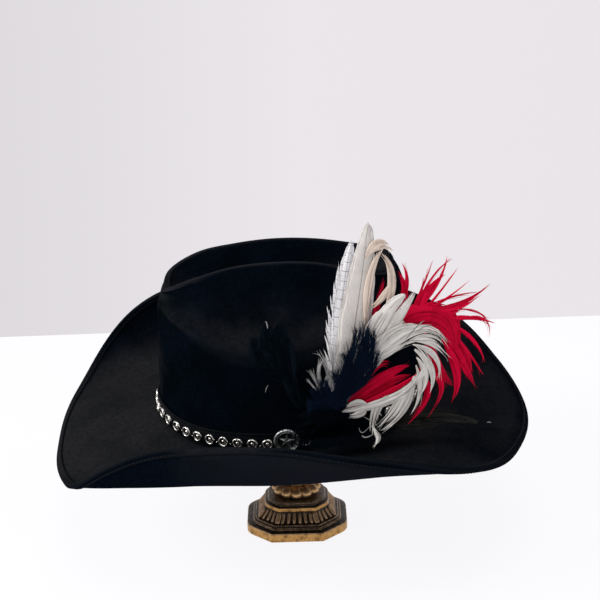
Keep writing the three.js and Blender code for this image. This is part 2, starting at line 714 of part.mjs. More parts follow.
function knopRing({ z, radius, lobed }) {
  const ring = [];
  for (let k = 0; k < KNOP.sides; k += 1) {
    const turn = k / KNOP.sides * 2 * Math.PI;
    const bulge = Math.abs(Math.cos(turn * KNOP.petals / 2)) - 0.5;
    const r = radius * (1 + lobed * KNOP.petalDepth * 2 * bulge);
    ring.push(new THREE.Vector3(r * Math.cos(turn), r * Math.sin(turn), z));
  }
  return ring;
}

function circle(radius, z, sides) {
  const ring = [];
  for (let k = 0; k < sides; k += 1) {
    const turn = k / sides * 2 * Math.PI;
    ring.push(new THREE.Vector3(radius * Math.cos(turn), radius * Math.sin(turn), z));
  }
  return ring;
}

// How much lower than its crown the cap's dome lies at a distance from the middle.
function domeDrop(distance) {
  return CAP.domeRadius - Math.sqrt(CAP.domeRadius ** 2 - distance ** 2);
}

// The cap's height: the dome rises until it almost meets the underside of the crown.
function capTop(hat) {
  const under = shifted(FELT_TOP, FELT_OUT, -FELT_WALL);
  let top = Infinity;
  for (const column of under) {
    for (const point of column.slice(0, CROWN_STEPS)) {
      const placed = hat.localToWorld(point.clone());
      const distance = Math.hypot(placed.x, placed.y);
      if (distance < CAP.radius + 4) {
        const within = Math.min(distance, CAP.radius);
        top = Math.min(top, placed.z + domeDrop(within));
      }
    }
  }
  return top - CAP.clear;
}

const felt = standard(0x0d0d0f, 0.95, 0);
const cloth = standard(0x101012, 0.85, 0);
const leather = standard(0x0b0b0d, 0.6, 0);
const silver = standard(0xa8a8a4, 0.3, 1);
const bronze = standard(0x6b4a26, 0.45, 0.9);

const hat = new THREE.Group();
hat.rotation.set(HAT_PLACE.forward, HAT_PLACE.sideways, HAT_PLACE.turn, 'ZXY');
hat.position.set(HAT_PLACE.x, HAT_PLACE.y, HAT_PLACE.z);
hat.add(named('felt_body', feltBody(0), felt));
hat.add(named('brim_binding', brimBinding(), cloth));
hat.add(named('hat_band', hatBand(), leather));
hat.add(named('star_medallion', starMedallion(), silver));
hat.updateMatrixWorld(true);

const plumes = new THREE.Group();
const room = feltAndBand();
const down = downCushion(0).subtract(room);
const grownDown = downCushion(GAP);
plumes.add(named('plume_head', toGeometry(down), standard(FEATHER_COLOURS.navy, 0.9, 0)));
for (const plan of FEATHERS) {
  plumes.add(named(plan.name, feather(plan, grownDown), standard(FEATHER_COLOURS[plan.colour], 0.9, 0)));
}
hat.add(plumes);

const stand = new THREE.Group();
const knopTop = KNOP_PROFILE[KNOP_PROFILE.length - 1].z;
const domeTop = capTop(hat);
const capUnder = domeTop - domeDrop(CAP.radius) - CAP.rimHeight;
const capRings = [circle(CAP.radius, capUnder, CAP.sides)];
for (let i = CAP.rings; i > 0; i -= 1) {
  const radius = CAP.radius * i / CAP.rings;
  capRings.push(circle(radius, domeTop - domeDrop(radius), CAP.sides));
}
stand.add(named('stand_foot', stackOfRings(FOOT.map(octagon)), bronze));
stand.add(named('stand_knop', stackOfRings(KNOP_PROFILE.map(knopRing)), bronze));
stand.add(named('stand_post', stackOfRings([
  circle(POST.radius, knopTop + GAP, POST.sides),
  circle(POST.radius, capUnder - GAP, POST.sides),
]), bronze));
stand.add(named('stand_cap', stackOfRings(capRings), bronze));

const part = new THREE.Group();
part.add(stand, hat);

export default part;
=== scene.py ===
import math
from collections import namedtuple

import bmesh
import bpy
import numpy as np
from mathutils import Matrix, Vector


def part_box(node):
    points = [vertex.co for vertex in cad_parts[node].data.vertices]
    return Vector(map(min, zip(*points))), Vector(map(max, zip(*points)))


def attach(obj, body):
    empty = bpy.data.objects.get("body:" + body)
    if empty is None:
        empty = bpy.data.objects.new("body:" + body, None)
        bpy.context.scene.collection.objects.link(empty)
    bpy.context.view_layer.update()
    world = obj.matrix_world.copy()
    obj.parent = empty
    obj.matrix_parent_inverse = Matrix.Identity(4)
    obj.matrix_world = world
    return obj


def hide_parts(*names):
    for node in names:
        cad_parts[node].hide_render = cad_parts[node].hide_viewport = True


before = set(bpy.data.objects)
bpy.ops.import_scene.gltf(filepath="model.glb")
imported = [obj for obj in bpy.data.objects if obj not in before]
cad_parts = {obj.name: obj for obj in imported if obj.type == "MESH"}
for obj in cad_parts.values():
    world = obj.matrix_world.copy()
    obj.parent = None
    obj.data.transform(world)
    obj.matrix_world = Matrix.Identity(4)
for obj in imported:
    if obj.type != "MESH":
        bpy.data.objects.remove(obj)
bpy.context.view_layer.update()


# The shaped felt hat.
# One piece of black fur felt with a short suede-like nap, blocked while wet: a tall crown with a long dent
# in its top and one in each side, and a wide brim steamed up at both sides and down at the front and back.
HAT_PLACE = (0.1, -4.8, 112.1)
HAT_LEAN = {"turn": -1.64, "forward": 4.42, "sideways": 7.1}
FELT_WALL = 2.0
# The air left between two pieces, and how far short of the brim's edge the felt stops to leave room for its
# binding.
GAP = 0.3
BINDING_LID = 1.1
CREASE = {"half_length": 103, "half_width": 88, "centre_y": 1.5}
FELT_COLUMNS = 288
CROWN_STEPS = 70
BRIM_STEPS = 44
VALLEY_HALF_LENGTH = 70
NEAR_TRIM = {"middle": 5.4, "front": 5.8}

# Nine brim sections from the front to the back: width, slope at the crease, slope at the edge, the share of
# the width that runs straight, and the height of the crease.
BRIM = [
    (94, -16, -46, 0.86, 0),
    (99, -13, 1, 0.80, 0),
    (111, -8.7, 82, 0.46, -3.3),
    (106, 7, 152, 0.58, -4),
    (106, 10.7, 163, 0.64, -4.5),
    (96, 8, 114, 0.77, -4),
    (101, -3, 27, 0.83, -1),
    (91, -13, -33, 0.84, 0),
    (90, -18, -54, 0.86, 0),
]
WIDTH, START, EDGE, STRAIGHT, CREASE_UP = range(5)

# Nine crown sections at the same angles: how far the wall leans in, then distance in and height of the lip,
# of the side dent and of the ridge, how soft the ridge is, and the height of the top dent's floor.
CROWN = [
    (7, 9, 88, 13, 97, 18, 100, 5, 97),
    (7, 10, 91, 14, 100, 19, 108, 5, 96),
    (7, 10, 84, 24, 97, 37, 117, 4, 97),
    (6, 9, 72, 33, 88, 57, 122, 3, 99),
    (6, 10, 66, 38, 85, 63, 123, 3, 100),
    (6, 9, 67, 33, 85, 57, 120, 3, 99),
    (4, 7, 76, 20, 92, 38, 113, 4, 97),
    (2, 4, 84, 9, 98, 15, 107, 5, 96),
    (1, 3, 82, 7, 95, 13, 103, 5, 96),
]

hat_place = (
    Matrix.Translation([v / 1000 for v in HAT_PLACE])
    @ Matrix.Rotation(math.radians(HAT_LEAN["turn"]), 4, "Z")
    @ Matrix.Rotation(math.radians(HAT_LEAN["forward"]), 4, "X")
    @ Matrix.Rotation(math.radians(HAT_LEAN["sideways"]), 4, "Y")
    @ Matrix.Scale(0.001, 4)
)
stand_place = Matrix.Scale(0.001, 4)


def table_at(table, column, angle):
    """A smooth value between a table's rows, which run from the front to the back and mirror past them."""
    last = len(table) - 1
    wrapped = abs(math.atan2(math.sin(angle), math.cos(angle)))
    place = wrapped / math.pi * last
    row = min(int(place), last - 1)
    f = place - row
    rows = [abs(i) if i <= last else 2 * last - i for i in range(row - 1, row + 3)]
    a, b, c, d = (table[i][column] for i in rows)
    return b + 0.5 * f * (c - a + f * (2 * a - 5 * b + 4 * c - d + f * (3 * (b - c) + d - a)))


def crease_point(angle):
    x = CREASE["half_width"] * math.sin(angle)
    y = CREASE["centre_y"] - CREASE["half_length"] * math.cos(angle)
    return x, y


def outward(angle):
    x = math.sin(angle) / CREASE["half_width"]
    y = -math.cos(angle) / CREASE["half_length"]
    size = math.hypot(x, y)
    return x / size, y / size


def brim_width(angle):
    trim = NEAR_TRIM["middle"] * math.sin(angle) + NEAR_TRIM["front"] * math.sin(2 * angle)
    return table_at(BRIM, WIDTH, angle) - trim


def brim_point(angle, along):
    width = brim_width(angle)
    start = math.radians(table_at(BRIM, START, angle))
    edge = math.radians(table_at(BRIM, EDGE, angle))
    straight = table_at(BRIM, STRAIGHT, angle) * width
    on_line = min(along, straight)
    out = on_line * math.cos(start)
    up = table_at(BRIM, CREASE_UP, angle) + on_line * math.sin(start)
    if along > straight:
        radius = (width - straight) / (edge - start)
        slope = start + (along - straight) / radius
        out += radius * (math.sin(slope) - math.sin(start))
        up += radius * (math.cos(start) - math.cos(slope))
    x, y = crease_point(angle)
    across = outward(angle)
    return x + across[0] * out, y + across[1] * out, up


def crown_controls(angle, in_most):
    """Distance in and height of the points that shape one crown section, from the crease to the top dent."""
    lean, lip_in, lip_up, dent_in, dent_up, ridge_in, ridge_up, soft, valley_up = (
        table_at(CROWN, column, angle) for column in range(9)
    )
    drop = ridge_up - valley_up
    run = in_most - ridge_in
    return [
        (0, table_at(BRIM, CREASE_UP, angle)),
        (lean * 0.35, lip_up * 0.35),
        (lean, lip_up * 0.75),
        (lip_in, lip_up),
        ((dent_in + lip_in) / 2, (dent_up + lip_up) / 2),
        (dent_in, dent_up),
        (ridge_in * 0.75 + dent_in * 0.25, ridge_up * 0.6 + dent_up * 0.4),
        (ridge_in - soft * 0.6, ridge_up - soft * 0.3),
        (ridge_in + soft * 0.5, ridge_up + 0.6),
        (ridge_in + run * 0.22, ridge_up - drop * 0.28),
        (ridge_in + run * 0.62, valley_up + drop * 0.12),
        (in_most, valley_up),
    ]


def spline_at(controls, share):
    """A point on the smooth line that a row of control points pulls into shape."""
    spans = len(controls) - 2
    place = min(share * spans, spans - 1e-9)
    span = int(place)
    f = place - span
    first = (1 - f) ** 2 if span == 0 else 0.5 * (1 - f) ** 2
    third = f**2 if span == spans - 1 else 0.5 * f**2
    weights = (first, 1 - first - third, third)
    return [sum(w * controls[span + k][axis] for k, w in enumerate(weights)) for axis in (0, 1)]


def crown_point(angle, share):
    foot = crease_point(angle)
    floor_y = CREASE["centre_y"] - VALLEY_HALF_LENGTH * math.cos(angle)
    in_most = math.hypot(foot[0], foot[1] - floor_y)
    inward, up = spline_at(crown_controls(angle, in_most), share)
    k = 1 if share == 1 else inward / in_most
    return foot[0] * (1 - k), foot[1] * (1 - k) + floor_y * k, up


def section_normals(grid):
    """Outward directions of a closed row of sections, as an array of the grid's shape."""
    along = np.roll(grid, -1, 0) - np.roll(grid, 1, 0)
    across = np.empty_like(grid)
    across[:, 1:-1] = grid[:, 2:] - grid[:, :-2]
    across[:, 0] = grid[:, 1] - grid[:, 0]
    across[:, -1] = grid[:, -1] - grid[:, -2]
    normals = np.cross(across, along)
    return normals / np.maximum(np.linalg.norm(normals, axis=2, keepdims=True), 1e-9)


def closed_wall(grid_a, grid_b):
    """Points and faces of a wall between two grids of sections that close into a ring."""
    columns, rows = grid_a.shape[:2]
    points = np.concatenate([grid_a.reshape(-1, 3), grid_b.reshape(-1, 3)])
    below = columns * rows
    faces = []
    for i in range(columns):
        a, b = i * rows, (i + 1) % columns * rows
        for j in range(rows - 1):
            faces.append((a + j, a + j + 1, b + j + 1, b + j))
            faces.append((below + a + j, below + b + j, below + b + j + 1, below + a + j + 1))
        p, q = a + rows - 1, b + rows - 1
        faces.append((p, below + p, below + q, q))
    return points, faces


def new_piece(name, points, faces, place, materials, weld=False):
    """A smooth-shaded mesh object in the row frame, from points in millimetres."""
    moved = np.asarray(points, float) @ np.array(place.to_3x3()).T + np.array(place.translation)
    mesh = bpy.data.meshes.new(name)
    mesh.from_pydata(moved.tolist(), [], faces)
    if weld:
        shape = bmesh.new()
        shape.from_mesh(mesh)
        bmesh.ops.remove_doubles(shape, verts=shape.verts, dist=1e-6)
        bmesh.ops.dissolve_degenerate(shape, edges=shape.edges, dist=1e-7)
        shape.to_mesh(mesh)
        shape.free()
    for material in materials:
        mesh.materials.append(material)
    mesh.shade_smooth()
    piece = bpy.data.objects.new(name, mesh)
    bpy.context.scene.collection.objects.link(piece)
    return piece


def finish(name):
    """A material with its node tree, its shader and the place on the piece that its patterns are laid by."""
    material = bpy.data.materials.new(name)
    material.use_nodes = True
    tree = material.node_tree
    place = tree.nodes.new("ShaderNodeTexCoord").outputs["Object"]
    return material, tree, tree.nodes["Principled BSDF"], place


def fill(tree, made, inputs):
    """Links the patterns into a node's inputs and sets the plain values."""
    for key, value in inputs.items():
        if isinstance(value, bpy.types.NodeSocket):
            tree.links.new(value, made.inputs[key])
        else:
            made.inputs[key].default_value = value


def node(tree, kind, inputs=None, **settings):
    made = tree.nodes.new("ShaderNode" + kind)
    for key, value in settings.items():
        setattr(made, key, value)
    fill(tree, made, inputs or {})
    return made


def maths(tree, operation, *values):
    return node(tree, "Math", dict(enumerate(values)), operation=operation).outputs[0]


def noise(tree, place, scale, detail=3.0, roughness=0.55):
    inputs = {"Vector": place, "Scale": scale, "Detail": detail, "Roughness": roughness}
    return node(tree, "TexNoise", inputs).outputs["Fac"]


def ramp(tree, value, stops):
    made = node(tree, "ValToRGB", {"Fac": value})
    slots = made.color_ramp.elements
    while len(slots) < len(stops):
        slots.new(0.5)
    for slot, (at, colour) in zip(slots, stops):
        slot.position = at
        slot.color = (*colour, 1) if isinstance(colour, tuple) else (colour, colour, colour, 1)
    return made.outputs["Color"]


def mixed(tree, share, a, b, blend="MIX"):
    made = node(tree, "Mix", {0: share}, data_type="RGBA", blend_type=blend)
    for index, value in ((6, a), (7, b)):
        fill(tree, made, {index: value if isinstance(value, bpy.types.NodeSocket) else (*value, 1)})
    return made.outputs[2]


def bumped(tree, height, distance, strength=1.0, under=None):
    inputs = {"Height": height, "Distance": distance, "Strength": strength}
    if under:
        inputs["Normal"] = under
    return node(tree, "Bump", inputs).outputs["Normal"]


# Painted light on the felt, by the way it faces: from above where it faces up, from the floor where it
# faces down, and from the window where it faces forwards and up. For each: the way that the felt faces, how
# squarely it faces so where the cast begins and where it is full, and the cast's colour.
PAINTED_LIGHT_CASTS = [
    ((0.00, 0.30, 0.95), 0.50, 1.05, (0.0070, 0.0078, 0.0112)),
    ((0.50, 0.25, -0.83), 0.25, 0.85, (0.0022, 0.0040, 0.0084)),
    ((-0.10, -0.60, 0.79), 0.50, 1.00, (0.0172, 0.0178, 0.0194)),
]
FELT_DYE = [(0.35, (0.0012, 0.0026, 0.0034)), (0.65, (0.0020, 0.0040, 0.0080))]
LINT = {"scale": 70, "size": 0.022, "left_out": 0.7, "colour": (0.10, 0.10, 0.11)}


def suede_finish(name, ridge_highlight):
    """Black suede-like nap, blue-black, with painted light where it faces up, forwards or the floor, and a
    painted highlight on its sharp ridges and edges.
    """
    suede, tree, shader, place = finish(name)
    tufts = noise(tree, place, 300, 4, 0.65)
    nap = noise(tree, place, 2200, 2)
    surface = node(tree, "NewGeometry").outputs
    uneven = maths(tree, "MULTIPLY_ADD", noise(tree, place, 13, 3, 0.6), 1.1, -0.55)
    colour = ramp(tree, noise(tree, place, 24, 3), FELT_DYE)
    # Painted light: each cast lightens the felt where it faces up, the floor or the window.
    for way, least, most, cast in PAINTED_LIGHT_CASTS:
        facing = node(tree, "VectorMath", {0: surface["Normal"], 1: way}, operation="DOT_PRODUCT")
        share = maths(tree, "ADD", facing.outputs["Value"], uneven)
        inputs = {"Value": share, "From Min": least, "From Max": most}
        colour = mixed(tree, node(tree, "MapRange", inputs).outputs[0], colour, cast)
    colour = mixed(tree, 1.0, colour, ramp(tree, tufts, [(0.35, 0.62), (0.65, 1.0)]), "MULTIPLY")
    # Painted highlight: rubbed holds its share, which lightens the sharp ridges and edges to the highlight
    # colour.
    rubbed = ramp(tree, surface["Pointiness"], [(0.508, 0.0), (0.53, 0.9)])
    colour = mixed(tree, rubbed, colour, ridge_highlight)
    cells = node(tree, "TexVoronoi", {"Vector": place, "Scale": LINT["scale"]}).outputs
    speck = maths(tree, "LESS_THAN", cells["Distance"], LINT["size"])
    chosen = node(tree, "SeparateColor", {0: cells["Color"]}).outputs[0]
    kept = maths(tree, "GREATER_THAN", chosen, LINT["left_out"])
    fill(tree, shader, {
        "Base Color": mixed(tree, maths(tree, "MULTIPLY", speck, kept), colour, LINT["colour"]),
        "Normal": bumped(tree, nap, 0.0005, 0.5, bumped(tree, tufts, 0.0012, 0.35)),
        "Roughness": 0.95,
        "Specular IOR Level": 0.0,
    })
    return suede


# The second value is the colour of the painted highlight along the felt's ridges.
black_felt = suede_finish("black_felt", (0.019, 0.020, 0.024))
felt_angles = [i / FELT_COLUMNS * 2 * math.pi for i in range(FELT_COLUMNS)]
felt_sections = []
for angle in felt_angles:
    section = [crown_point(angle, j / CROWN_STEPS) for j in range(CROWN_STEPS, -1, -1)]
    reach = brim_width(angle) - BINDING_LID
    section += [brim_point(angle, reach * j / BRIM_STEPS) for j in range(1, BRIM_STEPS + 1)]
    felt_sections.append(section)
felt_top = np.array(felt_sections)
felt_out = section_normals(felt_top)
felt_out[:, 0] = (0, 0, 1)

points, faces = closed_wall(felt_top, felt_top - felt_out * FELT_WALL)
felt_body = new_piece("hat_felt", points, faces, hat_place, [black_felt], weld=True)
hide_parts("felt_body")
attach(felt_body, "root")


# The edge binding.
# A strip of black suede-finished cloth folded over the raw edge of the brim, 6 mm deep above and below,
# and sewn through with one row of short stitches near its inner edge.
BINDING_DEPTH = 6.0
BINDING_CLOTH = 0.8
# How far in the strip is cut into faces, as shares of its depth, and how thin its turned edge is pressed.
BINDING_SHARES = (1.0, 0.97, 0.75, 0.5, 0.25)
PRESSED_EDGE = 0.55
NOSE_STEPS = 8
STITCH = {"pitch": 3.2, "length": 2.3, "radius": 0.32, "flatness": 0.8, "in": 4.5, "sides": 4}
# Along a stitch: share of its length, share of its radius.
STITCH_RINGS = ((-0.5, 0.35), (-0.3, 1.0), (0.3, 1.0), (0.5, 0.35))
# How far off, in mm inwards and in radians round the brim, the points lie that give its directions.
BEFORE, BESIDE = 0.5, 0.01

# The second value is the colour of the painted highlight along the binding's folded edge.
black_binding = suede_finish("black_binding", (0.0060, 0.0076, 0.0100))


def brim_surface(angle, inset=0.0):
    """A point on the brim's top at an inset from the felt's end, and the directions out and up there."""
    reach = brim_width(angle) - BINDING_LID - inset
    here = Vector(brim_point(angle, reach))
    before = Vector(brim_point(angle, reach - BEFORE))
    beside = Vector(brim_point(angle + BESIDE, brim_width(angle + BESIDE) - BINDING_LID - inset))
    out = (here - before).normalized()
    up = out.cross(beside - here).normalized()
    return here, out, up


def binding_section(angle):
    """The folded strip cut across: over the top, round the edge and below, then back along the felt."""
    half = FELT_WALL / 2
    end, out, up = brim_surface(angle)
    middle = end - up * half

    def off_felt(share, lift):
        here, _, way = brim_surface(angle, (BINDING_DEPTH - BINDING_LID) * share)
        return here + way * lift

    def round_edge(reach, lift, turns):
        return [middle + out * reach * math.sin(turn) + up * lift * math.cos(turn) for turn in turns]

    cloth = [(share, BINDING_CLOTH * (PRESSED_EDGE if share == 1.0 else 1.0)) for share in BINDING_SHARES]
    nose = [math.pi * k / NOSE_STEPS for k in range(NOSE_STEPS + 1)]
    path = [off_felt(share, GAP + thick) for share, thick in cloth]
    path += round_edge(BINDING_LID, half + GAP + BINDING_CLOTH, nose)
    path += [off_felt(share, -(FELT_WALL + GAP + thick)) for share, thick in reversed(cloth)]
    path += [off_felt(share, -(FELT_WALL + GAP)) for share in (1.0, 0.5)]
    path += round_edge(GAP, half + GAP, (math.pi, math.pi / 2, 0.0))
    path += [off_felt(share, GAP) for share in (0.5, 1.0)]
    return path


def ring_of_sections(sections):
    """Points and faces of a tube that runs through sections and closes on itself."""
    count, size = len(sections), len(sections[0])
    points = [p for section in sections for p in section]
    faces = []
    for i in range(count):
        a, b = i * size, (i + 1) % count * size
        for k in range(size):
            m = (k + 1) % size
            faces.append((a + k, b + k, b + m, a + m))
    return points, faces


points, faces = ring_of_sections([binding_section(angle)[::-1] for angle in felt_angles])
binding = new_piece("brim_edge_binding", points, faces, hat_place, [black_binding])
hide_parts("brim_binding")
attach(binding, "root")


def stitch_run(inset, side):
    """Short raised stitches along the brim, above it (side 1) or below it (side -1)."""
    points, faces = [], []
    lift = GAP + BINDING_CLOTH if side > 0 else FELT_WALL + GAP + BINDING_CLOTH
    sides = STITCH["sides"]
    angle = 0.0
    while angle < 2 * math.pi:
        here, _, way = brim_surface(angle, inset)
        step = brim_surface(angle + BESIDE, inset)[0] - here
        along = step.normalized()
        across = along.cross(way)
        centre = here + way * side * lift
        base = len(points)
        for share, size in STITCH_RINGS:
            for k in range(sides):
                swing = k / sides * 2 * math.pi
                off = across * math.cos(swing) + way * math.sin(swing) * STITCH["flatness"]
                points.append(centre + along * share * STITCH["length"] + off * STITCH["radius"] * size)
        for ring in range(base, len(points) - sides, sides):
            for k in range(sides):
                a, b = ring + k, ring + (k + 1) % sides
                faces.append((a, a + sides, b + sides, b))
        faces.append(tuple(range(base, base + sides)))
        faces.append(tuple(range(len(points) - 1, len(points) - 1 - sides, -1)))
        angle += STITCH["pitch"] / (step.length / BESIDE)
    return points, faces


def joined(parts):
    """One list of points and one of faces from several."""
    points, faces = [], []
    for more_points, more_faces in parts:
        base = len(points)
        points.extend(more_points)
        faces.extend(tuple(base + k for k in face) for face in more_faces)
    return points, faces


def thread_finish():
    thread, tree, shader, place = finish("black_thread")
    twist = node(tree, "TexWave", {"Vector": place, "Scale": 900, "Distortion": 2}).outputs["Fac"]
    fill(tree, shader, {
        "Base Color": ramp(tree, twist, [(0.2, (0.003, 0.003, 0.004)), (0.8, (0.014, 0.014, 0.015))]),
        "Normal": bumped(tree, twist, 0.0003, 0.6),
        "Roughness": 0.55,
        "Specular IOR Level": 0.08,
    })
    return thread


stitch_inset = STITCH["in"] - BINDING_LID
points, faces = joined([stitch_run(stitch_inset, 1), stitch_run(stitch_inset, -1)])
stitches = new_piece("brim_stitches", points, faces, hat_place, [thread_finish()])
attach(stitches, "root")


# The hat band.
# A black leather strap, 15 mm deep and 2 mm thick, laid round the foot of the crown. Nickel-silver ring studs
# are pressed through it along its lower half, 51 in all; each is a rolled ring round a sunk floor and a dome.
STRAP = {"thickness": 2.0, "top": 16.3, "bottom_gap": 1.2, "off": GAP + 0.05, "columns": 240}
STUD = {"pitch": 11.74, "count": 51, "up": 8.3, "first": 14.5, "sides": 22, "sunk": 0.15, "wobble": 0.035}
# Radius and height of one stud from the rim inwards, and which rows of its faces are dark with tarnish.
STUD_PROFILE = [
    (4.15, -0.8), (4.22, 0.3), (4.14, 0.85), (3.85, 1.40), (3.42, 1.62), (3.02, 1.42),
    (2.80, 0.90), (2.68, 0.20), (1.55, 0.10), (1.40, 0.45), (1.12, 0.85), (0.65, 1.12), (0.0, 1.22),
]
STUD_DARK_ROWS = (6, 7, 8)
PIN = {"sides": 8, "profile": [(0.55, -0.2), (0.55, 0.2), (0.35, 0.45), (0, 0.55)], "lower": 1.5, "sunk": 0.1}


def wall_point(angle, height):
    """The point of the crown's wall at a height, found by halving its lower third again and again."""
    low, high = 0.0, 0.35
    for _ in range(24):
        middle = (low + high) / 2
        if crown_point(angle, middle)[2] < height:
            low = middle
        else:
            high = middle
    return crown_point(angle, low)


def strap_section(angle):
    """The strap cut across: bevelled edges and a scored line along each."""
    out = outward(angle)
    crease = table_at(BRIM, CREASE_UP, angle)
    bottom, top = crease + STRAP["bottom_gap"], crease + STRAP["top"]
    inner, outer = STRAP["off"], STRAP["off"] + STRAP["thickness"]
    path = [
        (bottom, inner), (bottom, outer - 0.7), (bottom + 0.25, outer - 0.2), (bottom + 0.8, outer),
        (bottom + 1.5, outer), (bottom + 1.8, outer - 0.22), (bottom + 2.1, outer), (top - 2.1, outer),
        (top - 1.8, outer - 0.22), (top - 1.5, outer), (top - 0.8, outer), (top - 0.25, outer - 0.2),
        (top, outer - 0.7), (top, inner),
    ]
    low, high = wall_point(angle, bottom), wall_point(angle, top)
    section = []
    for height, away in path:
        share = (height - bottom) / (top - bottom)
        x, y = (low[axis] + (high[axis] - low[axis]) * share for axis in (0, 1))
        section.append((x + out[0] * away, y + out[1] * away, height))
    return section


def leather_finish():
    leather, tree, shader, place = finish("strap_leather")
    worn = noise(tree, place, 40, 4)
    pores = node(tree, "TexVoronoi", {"Vector": place, "Scale": 1100, "Randomness": 1.0})
    fill(tree, shader, {
        "Base Color": ramp(tree, worn, [(0.35, (0.0012, 0.0020, 0.0034)), (0.7, (0.0036, 0.0042, 0.0056))]),
        "Roughness": ramp(tree, worn, [(0.3, 0.38), (0.7, 0.6)]),
        "Normal": bumped(tree, pores.outputs["Distance"], 0.0003, 0.5),
        "Specular IOR Level": 0.03,
    })
    return leather


def silver_finish():
    silver, tree, shader, place = finish("worn_silver")
    worn = noise(tree, place, 420, 5, 0.65)
    scratches = node(tree, "Mapping", {"Vector": place, "Scale": (300, 2600, 2600)})
    lines = noise(tree, scratches.outputs["Vector"], 1.0, 2)
    colours = [(0.3, (0.30, 0.285, 0.25)), (0.48, (0.74, 0.72, 0.67)), (0.7, (0.97, 0.95, 0.90))]
    fill(tree, shader, {
        "Base Color": ramp(tree, worn, colours),
        "Roughness": ramp(tree, lines, [(0.3, 0.16), (0.7, 0.36)]),
        "Normal": bumped(tree, worn, 0.0002, 0.4),
        "Metallic": 1.0,
    })
    return silver


def pitted_finish(name, pattern, colours, rough, depth, metallic):
    """Metal with one fine pattern of wear in its colour, its roughness and its pits."""
    metal, tree, shader, place = finish(name)
    worn = noise(tree, place, *pattern)
    fill(tree, shader, {
        "Base Color": ramp(tree, worn, colours),
        "Roughness": ramp(tree, worn, [(0.3, rough[0]), (0.7, rough[1])]),
        "Normal": bumped(tree, worn, depth, 0.6),
        "Metallic": metallic,
    })
    return metal


def lathed(profile, sides, wobble=0.0, phase=0.0):
    """Points and faces of a turned piece along +Z; the last profile point is on its axis."""
    points, faces = [], []
    for radius, height in profile[:-1]:
        for k in range(sides):
            turn = k / sides * 2 * math.pi
            r = radius * (1 + wobble * math.cos(3 * turn + phase))
            points.append((r * math.cos(turn), r * math.sin(turn), height))
    points.append((0, 0, profile[-1][1]))
    for row in range(len(profile) - 2):
        for k in range(sides):
            m = (k + 1) % sides
            a, b = row * sides + k, row * sides + m
            faces.append((a, b, b + sides, a + sides))
    last = (len(profile) - 2) * sides
    for k in range(sides):
        faces.append((last + k, last + (k + 1) % sides, len(points) - 1))
    faces.append(tuple(range(sides - 1, -1, -1)))
    return points, faces


def looking_out(angle, above_crease, away):
    """The placement of a piece made along +Z that sits on the strap and looks outwards."""
    out = outward(angle)
    height = table_at(BRIM, CREASE_UP, angle) + above_crease
    span = 6.0
    low, high = wall_point(angle, height - span), wall_point(angle, height + span)
    lean = math.hypot(low[0] - high[0], low[1] - high[1]) / (2 * span)
    way = Vector((out[0], out[1], lean)).normalized()
    side = Vector((0, 0, 1)).cross(way).normalized()
    up = way.cross(side)
    wall = wall_point(angle, height)
    place = Matrix((side, up, way)).transposed().to_4x4()
    place.translation = (wall[0] + out[0] * away, wall[1] + out[1] * away, height)
    return place


def stud_angles(wanted_lengths):
    """Angles at the wanted distances along the strap, counted from the near side towards the front."""
    steps = 4000
    reach = STRAP["thickness"] + GAP
    turns = [math.pi / 2 - i / steps * 2 * math.pi for i in range(steps + 1)]
    places = [
        (x + outward(turn)[0] * reach, y + outward(turn)[1] * reach)
        for turn in turns
        for x, y in [crease_point(turn)]
    ]
    run = np.concatenate([[0], np.cumsum(np.hypot(*np.diff(np.array(places), axis=0).T))])
    return [turns[int(np.searchsorted(run, length))] for length in wanted_lengths]


strap_angles = [i / STRAP["columns"] * 2 * math.pi for i in range(STRAP["columns"])]
points, faces = ring_of_sections([strap_section(angle) for angle in strap_angles])
strap = new_piece("band_strap", points, faces, hat_place, [leather_finish()])
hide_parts("hat_band")
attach(strap, "root")

worn_silver = silver_finish()
tarnish_colours = [(0.35, (0.004, 0.004, 0.005)), (0.7, (0.030, 0.028, 0.025))]
dark_tarnish = pitted_finish("dark_tarnish", (900, 4), tarnish_colours, (0.5, 0.7), 0.0002, 0.4)
strap_face = STRAP["off"] + STRAP["thickness"]
chance = np.random.default_rng(7)
stud_parts = []
for angle in stud_angles([STUD["first"] + k * STUD["pitch"] for k in range(STUD["count"])]):
    place = looking_out(angle, STUD["up"], strap_face - STUD["sunk"])
    points, faces = lathed(STUD_PROFILE, STUD["sides"], STUD["wobble"], chance.uniform(0, 6.28))
    stud_parts.append(([place @ Vector(p) for p in points], faces))
points, faces = joined(stud_parts)
studs = new_piece("band_studs", points, faces, hat_place, [worn_silver, dark_tarnish])
stud_faces = len(faces) // STUD["count"]
dark = [int(k % stud_faces // STUD["sides"] in STUD_DARK_ROWS) for k in range(len(faces))]
studs.data.polygons.foreach_set("material_index", dark)
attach(studs, "root")

pin_parts = []
pin_places = [STUD["first"] + (k + 0.5) * STUD["pitch"] for k in range(STUD["count"] - 1) if k % 3 != 1]
for angle in stud_angles(pin_places):
    place = looking_out(angle, STUD["up"] - PIN["lower"], strap_face - PIN["sunk"])
    points, faces = lathed(PIN["profile"], PIN["sides"])
    pin_parts.append(([place @ Vector(p) for p in points], faces))
points, faces = joined(pin_parts)
pins = new_piece("band_pins", points, faces, hat_place, [worn_silver])
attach(pins, "root")


# The medallion.
# A round cast concho of worn silver, 19 mm across, screwed to the band on the near side. It has a rope edge,
# a dark stippled ground and a plain five-pointed star with a ridge down each arm.
MEDALLION = {"radius": 9.6, "sides": 96, "y": 1.5, "z": 6.5, "ground": 1.25, "off": 0.5}
# The rope edge and a finer rope inside it: radius of the ring, radius of the rope, height, strands, steps
# round and sides.
ROPES = [(8.65, 0.95, 1.7, 30, 240, 12), (7.25, 0.5, 1.75, 22, 200, 10)]
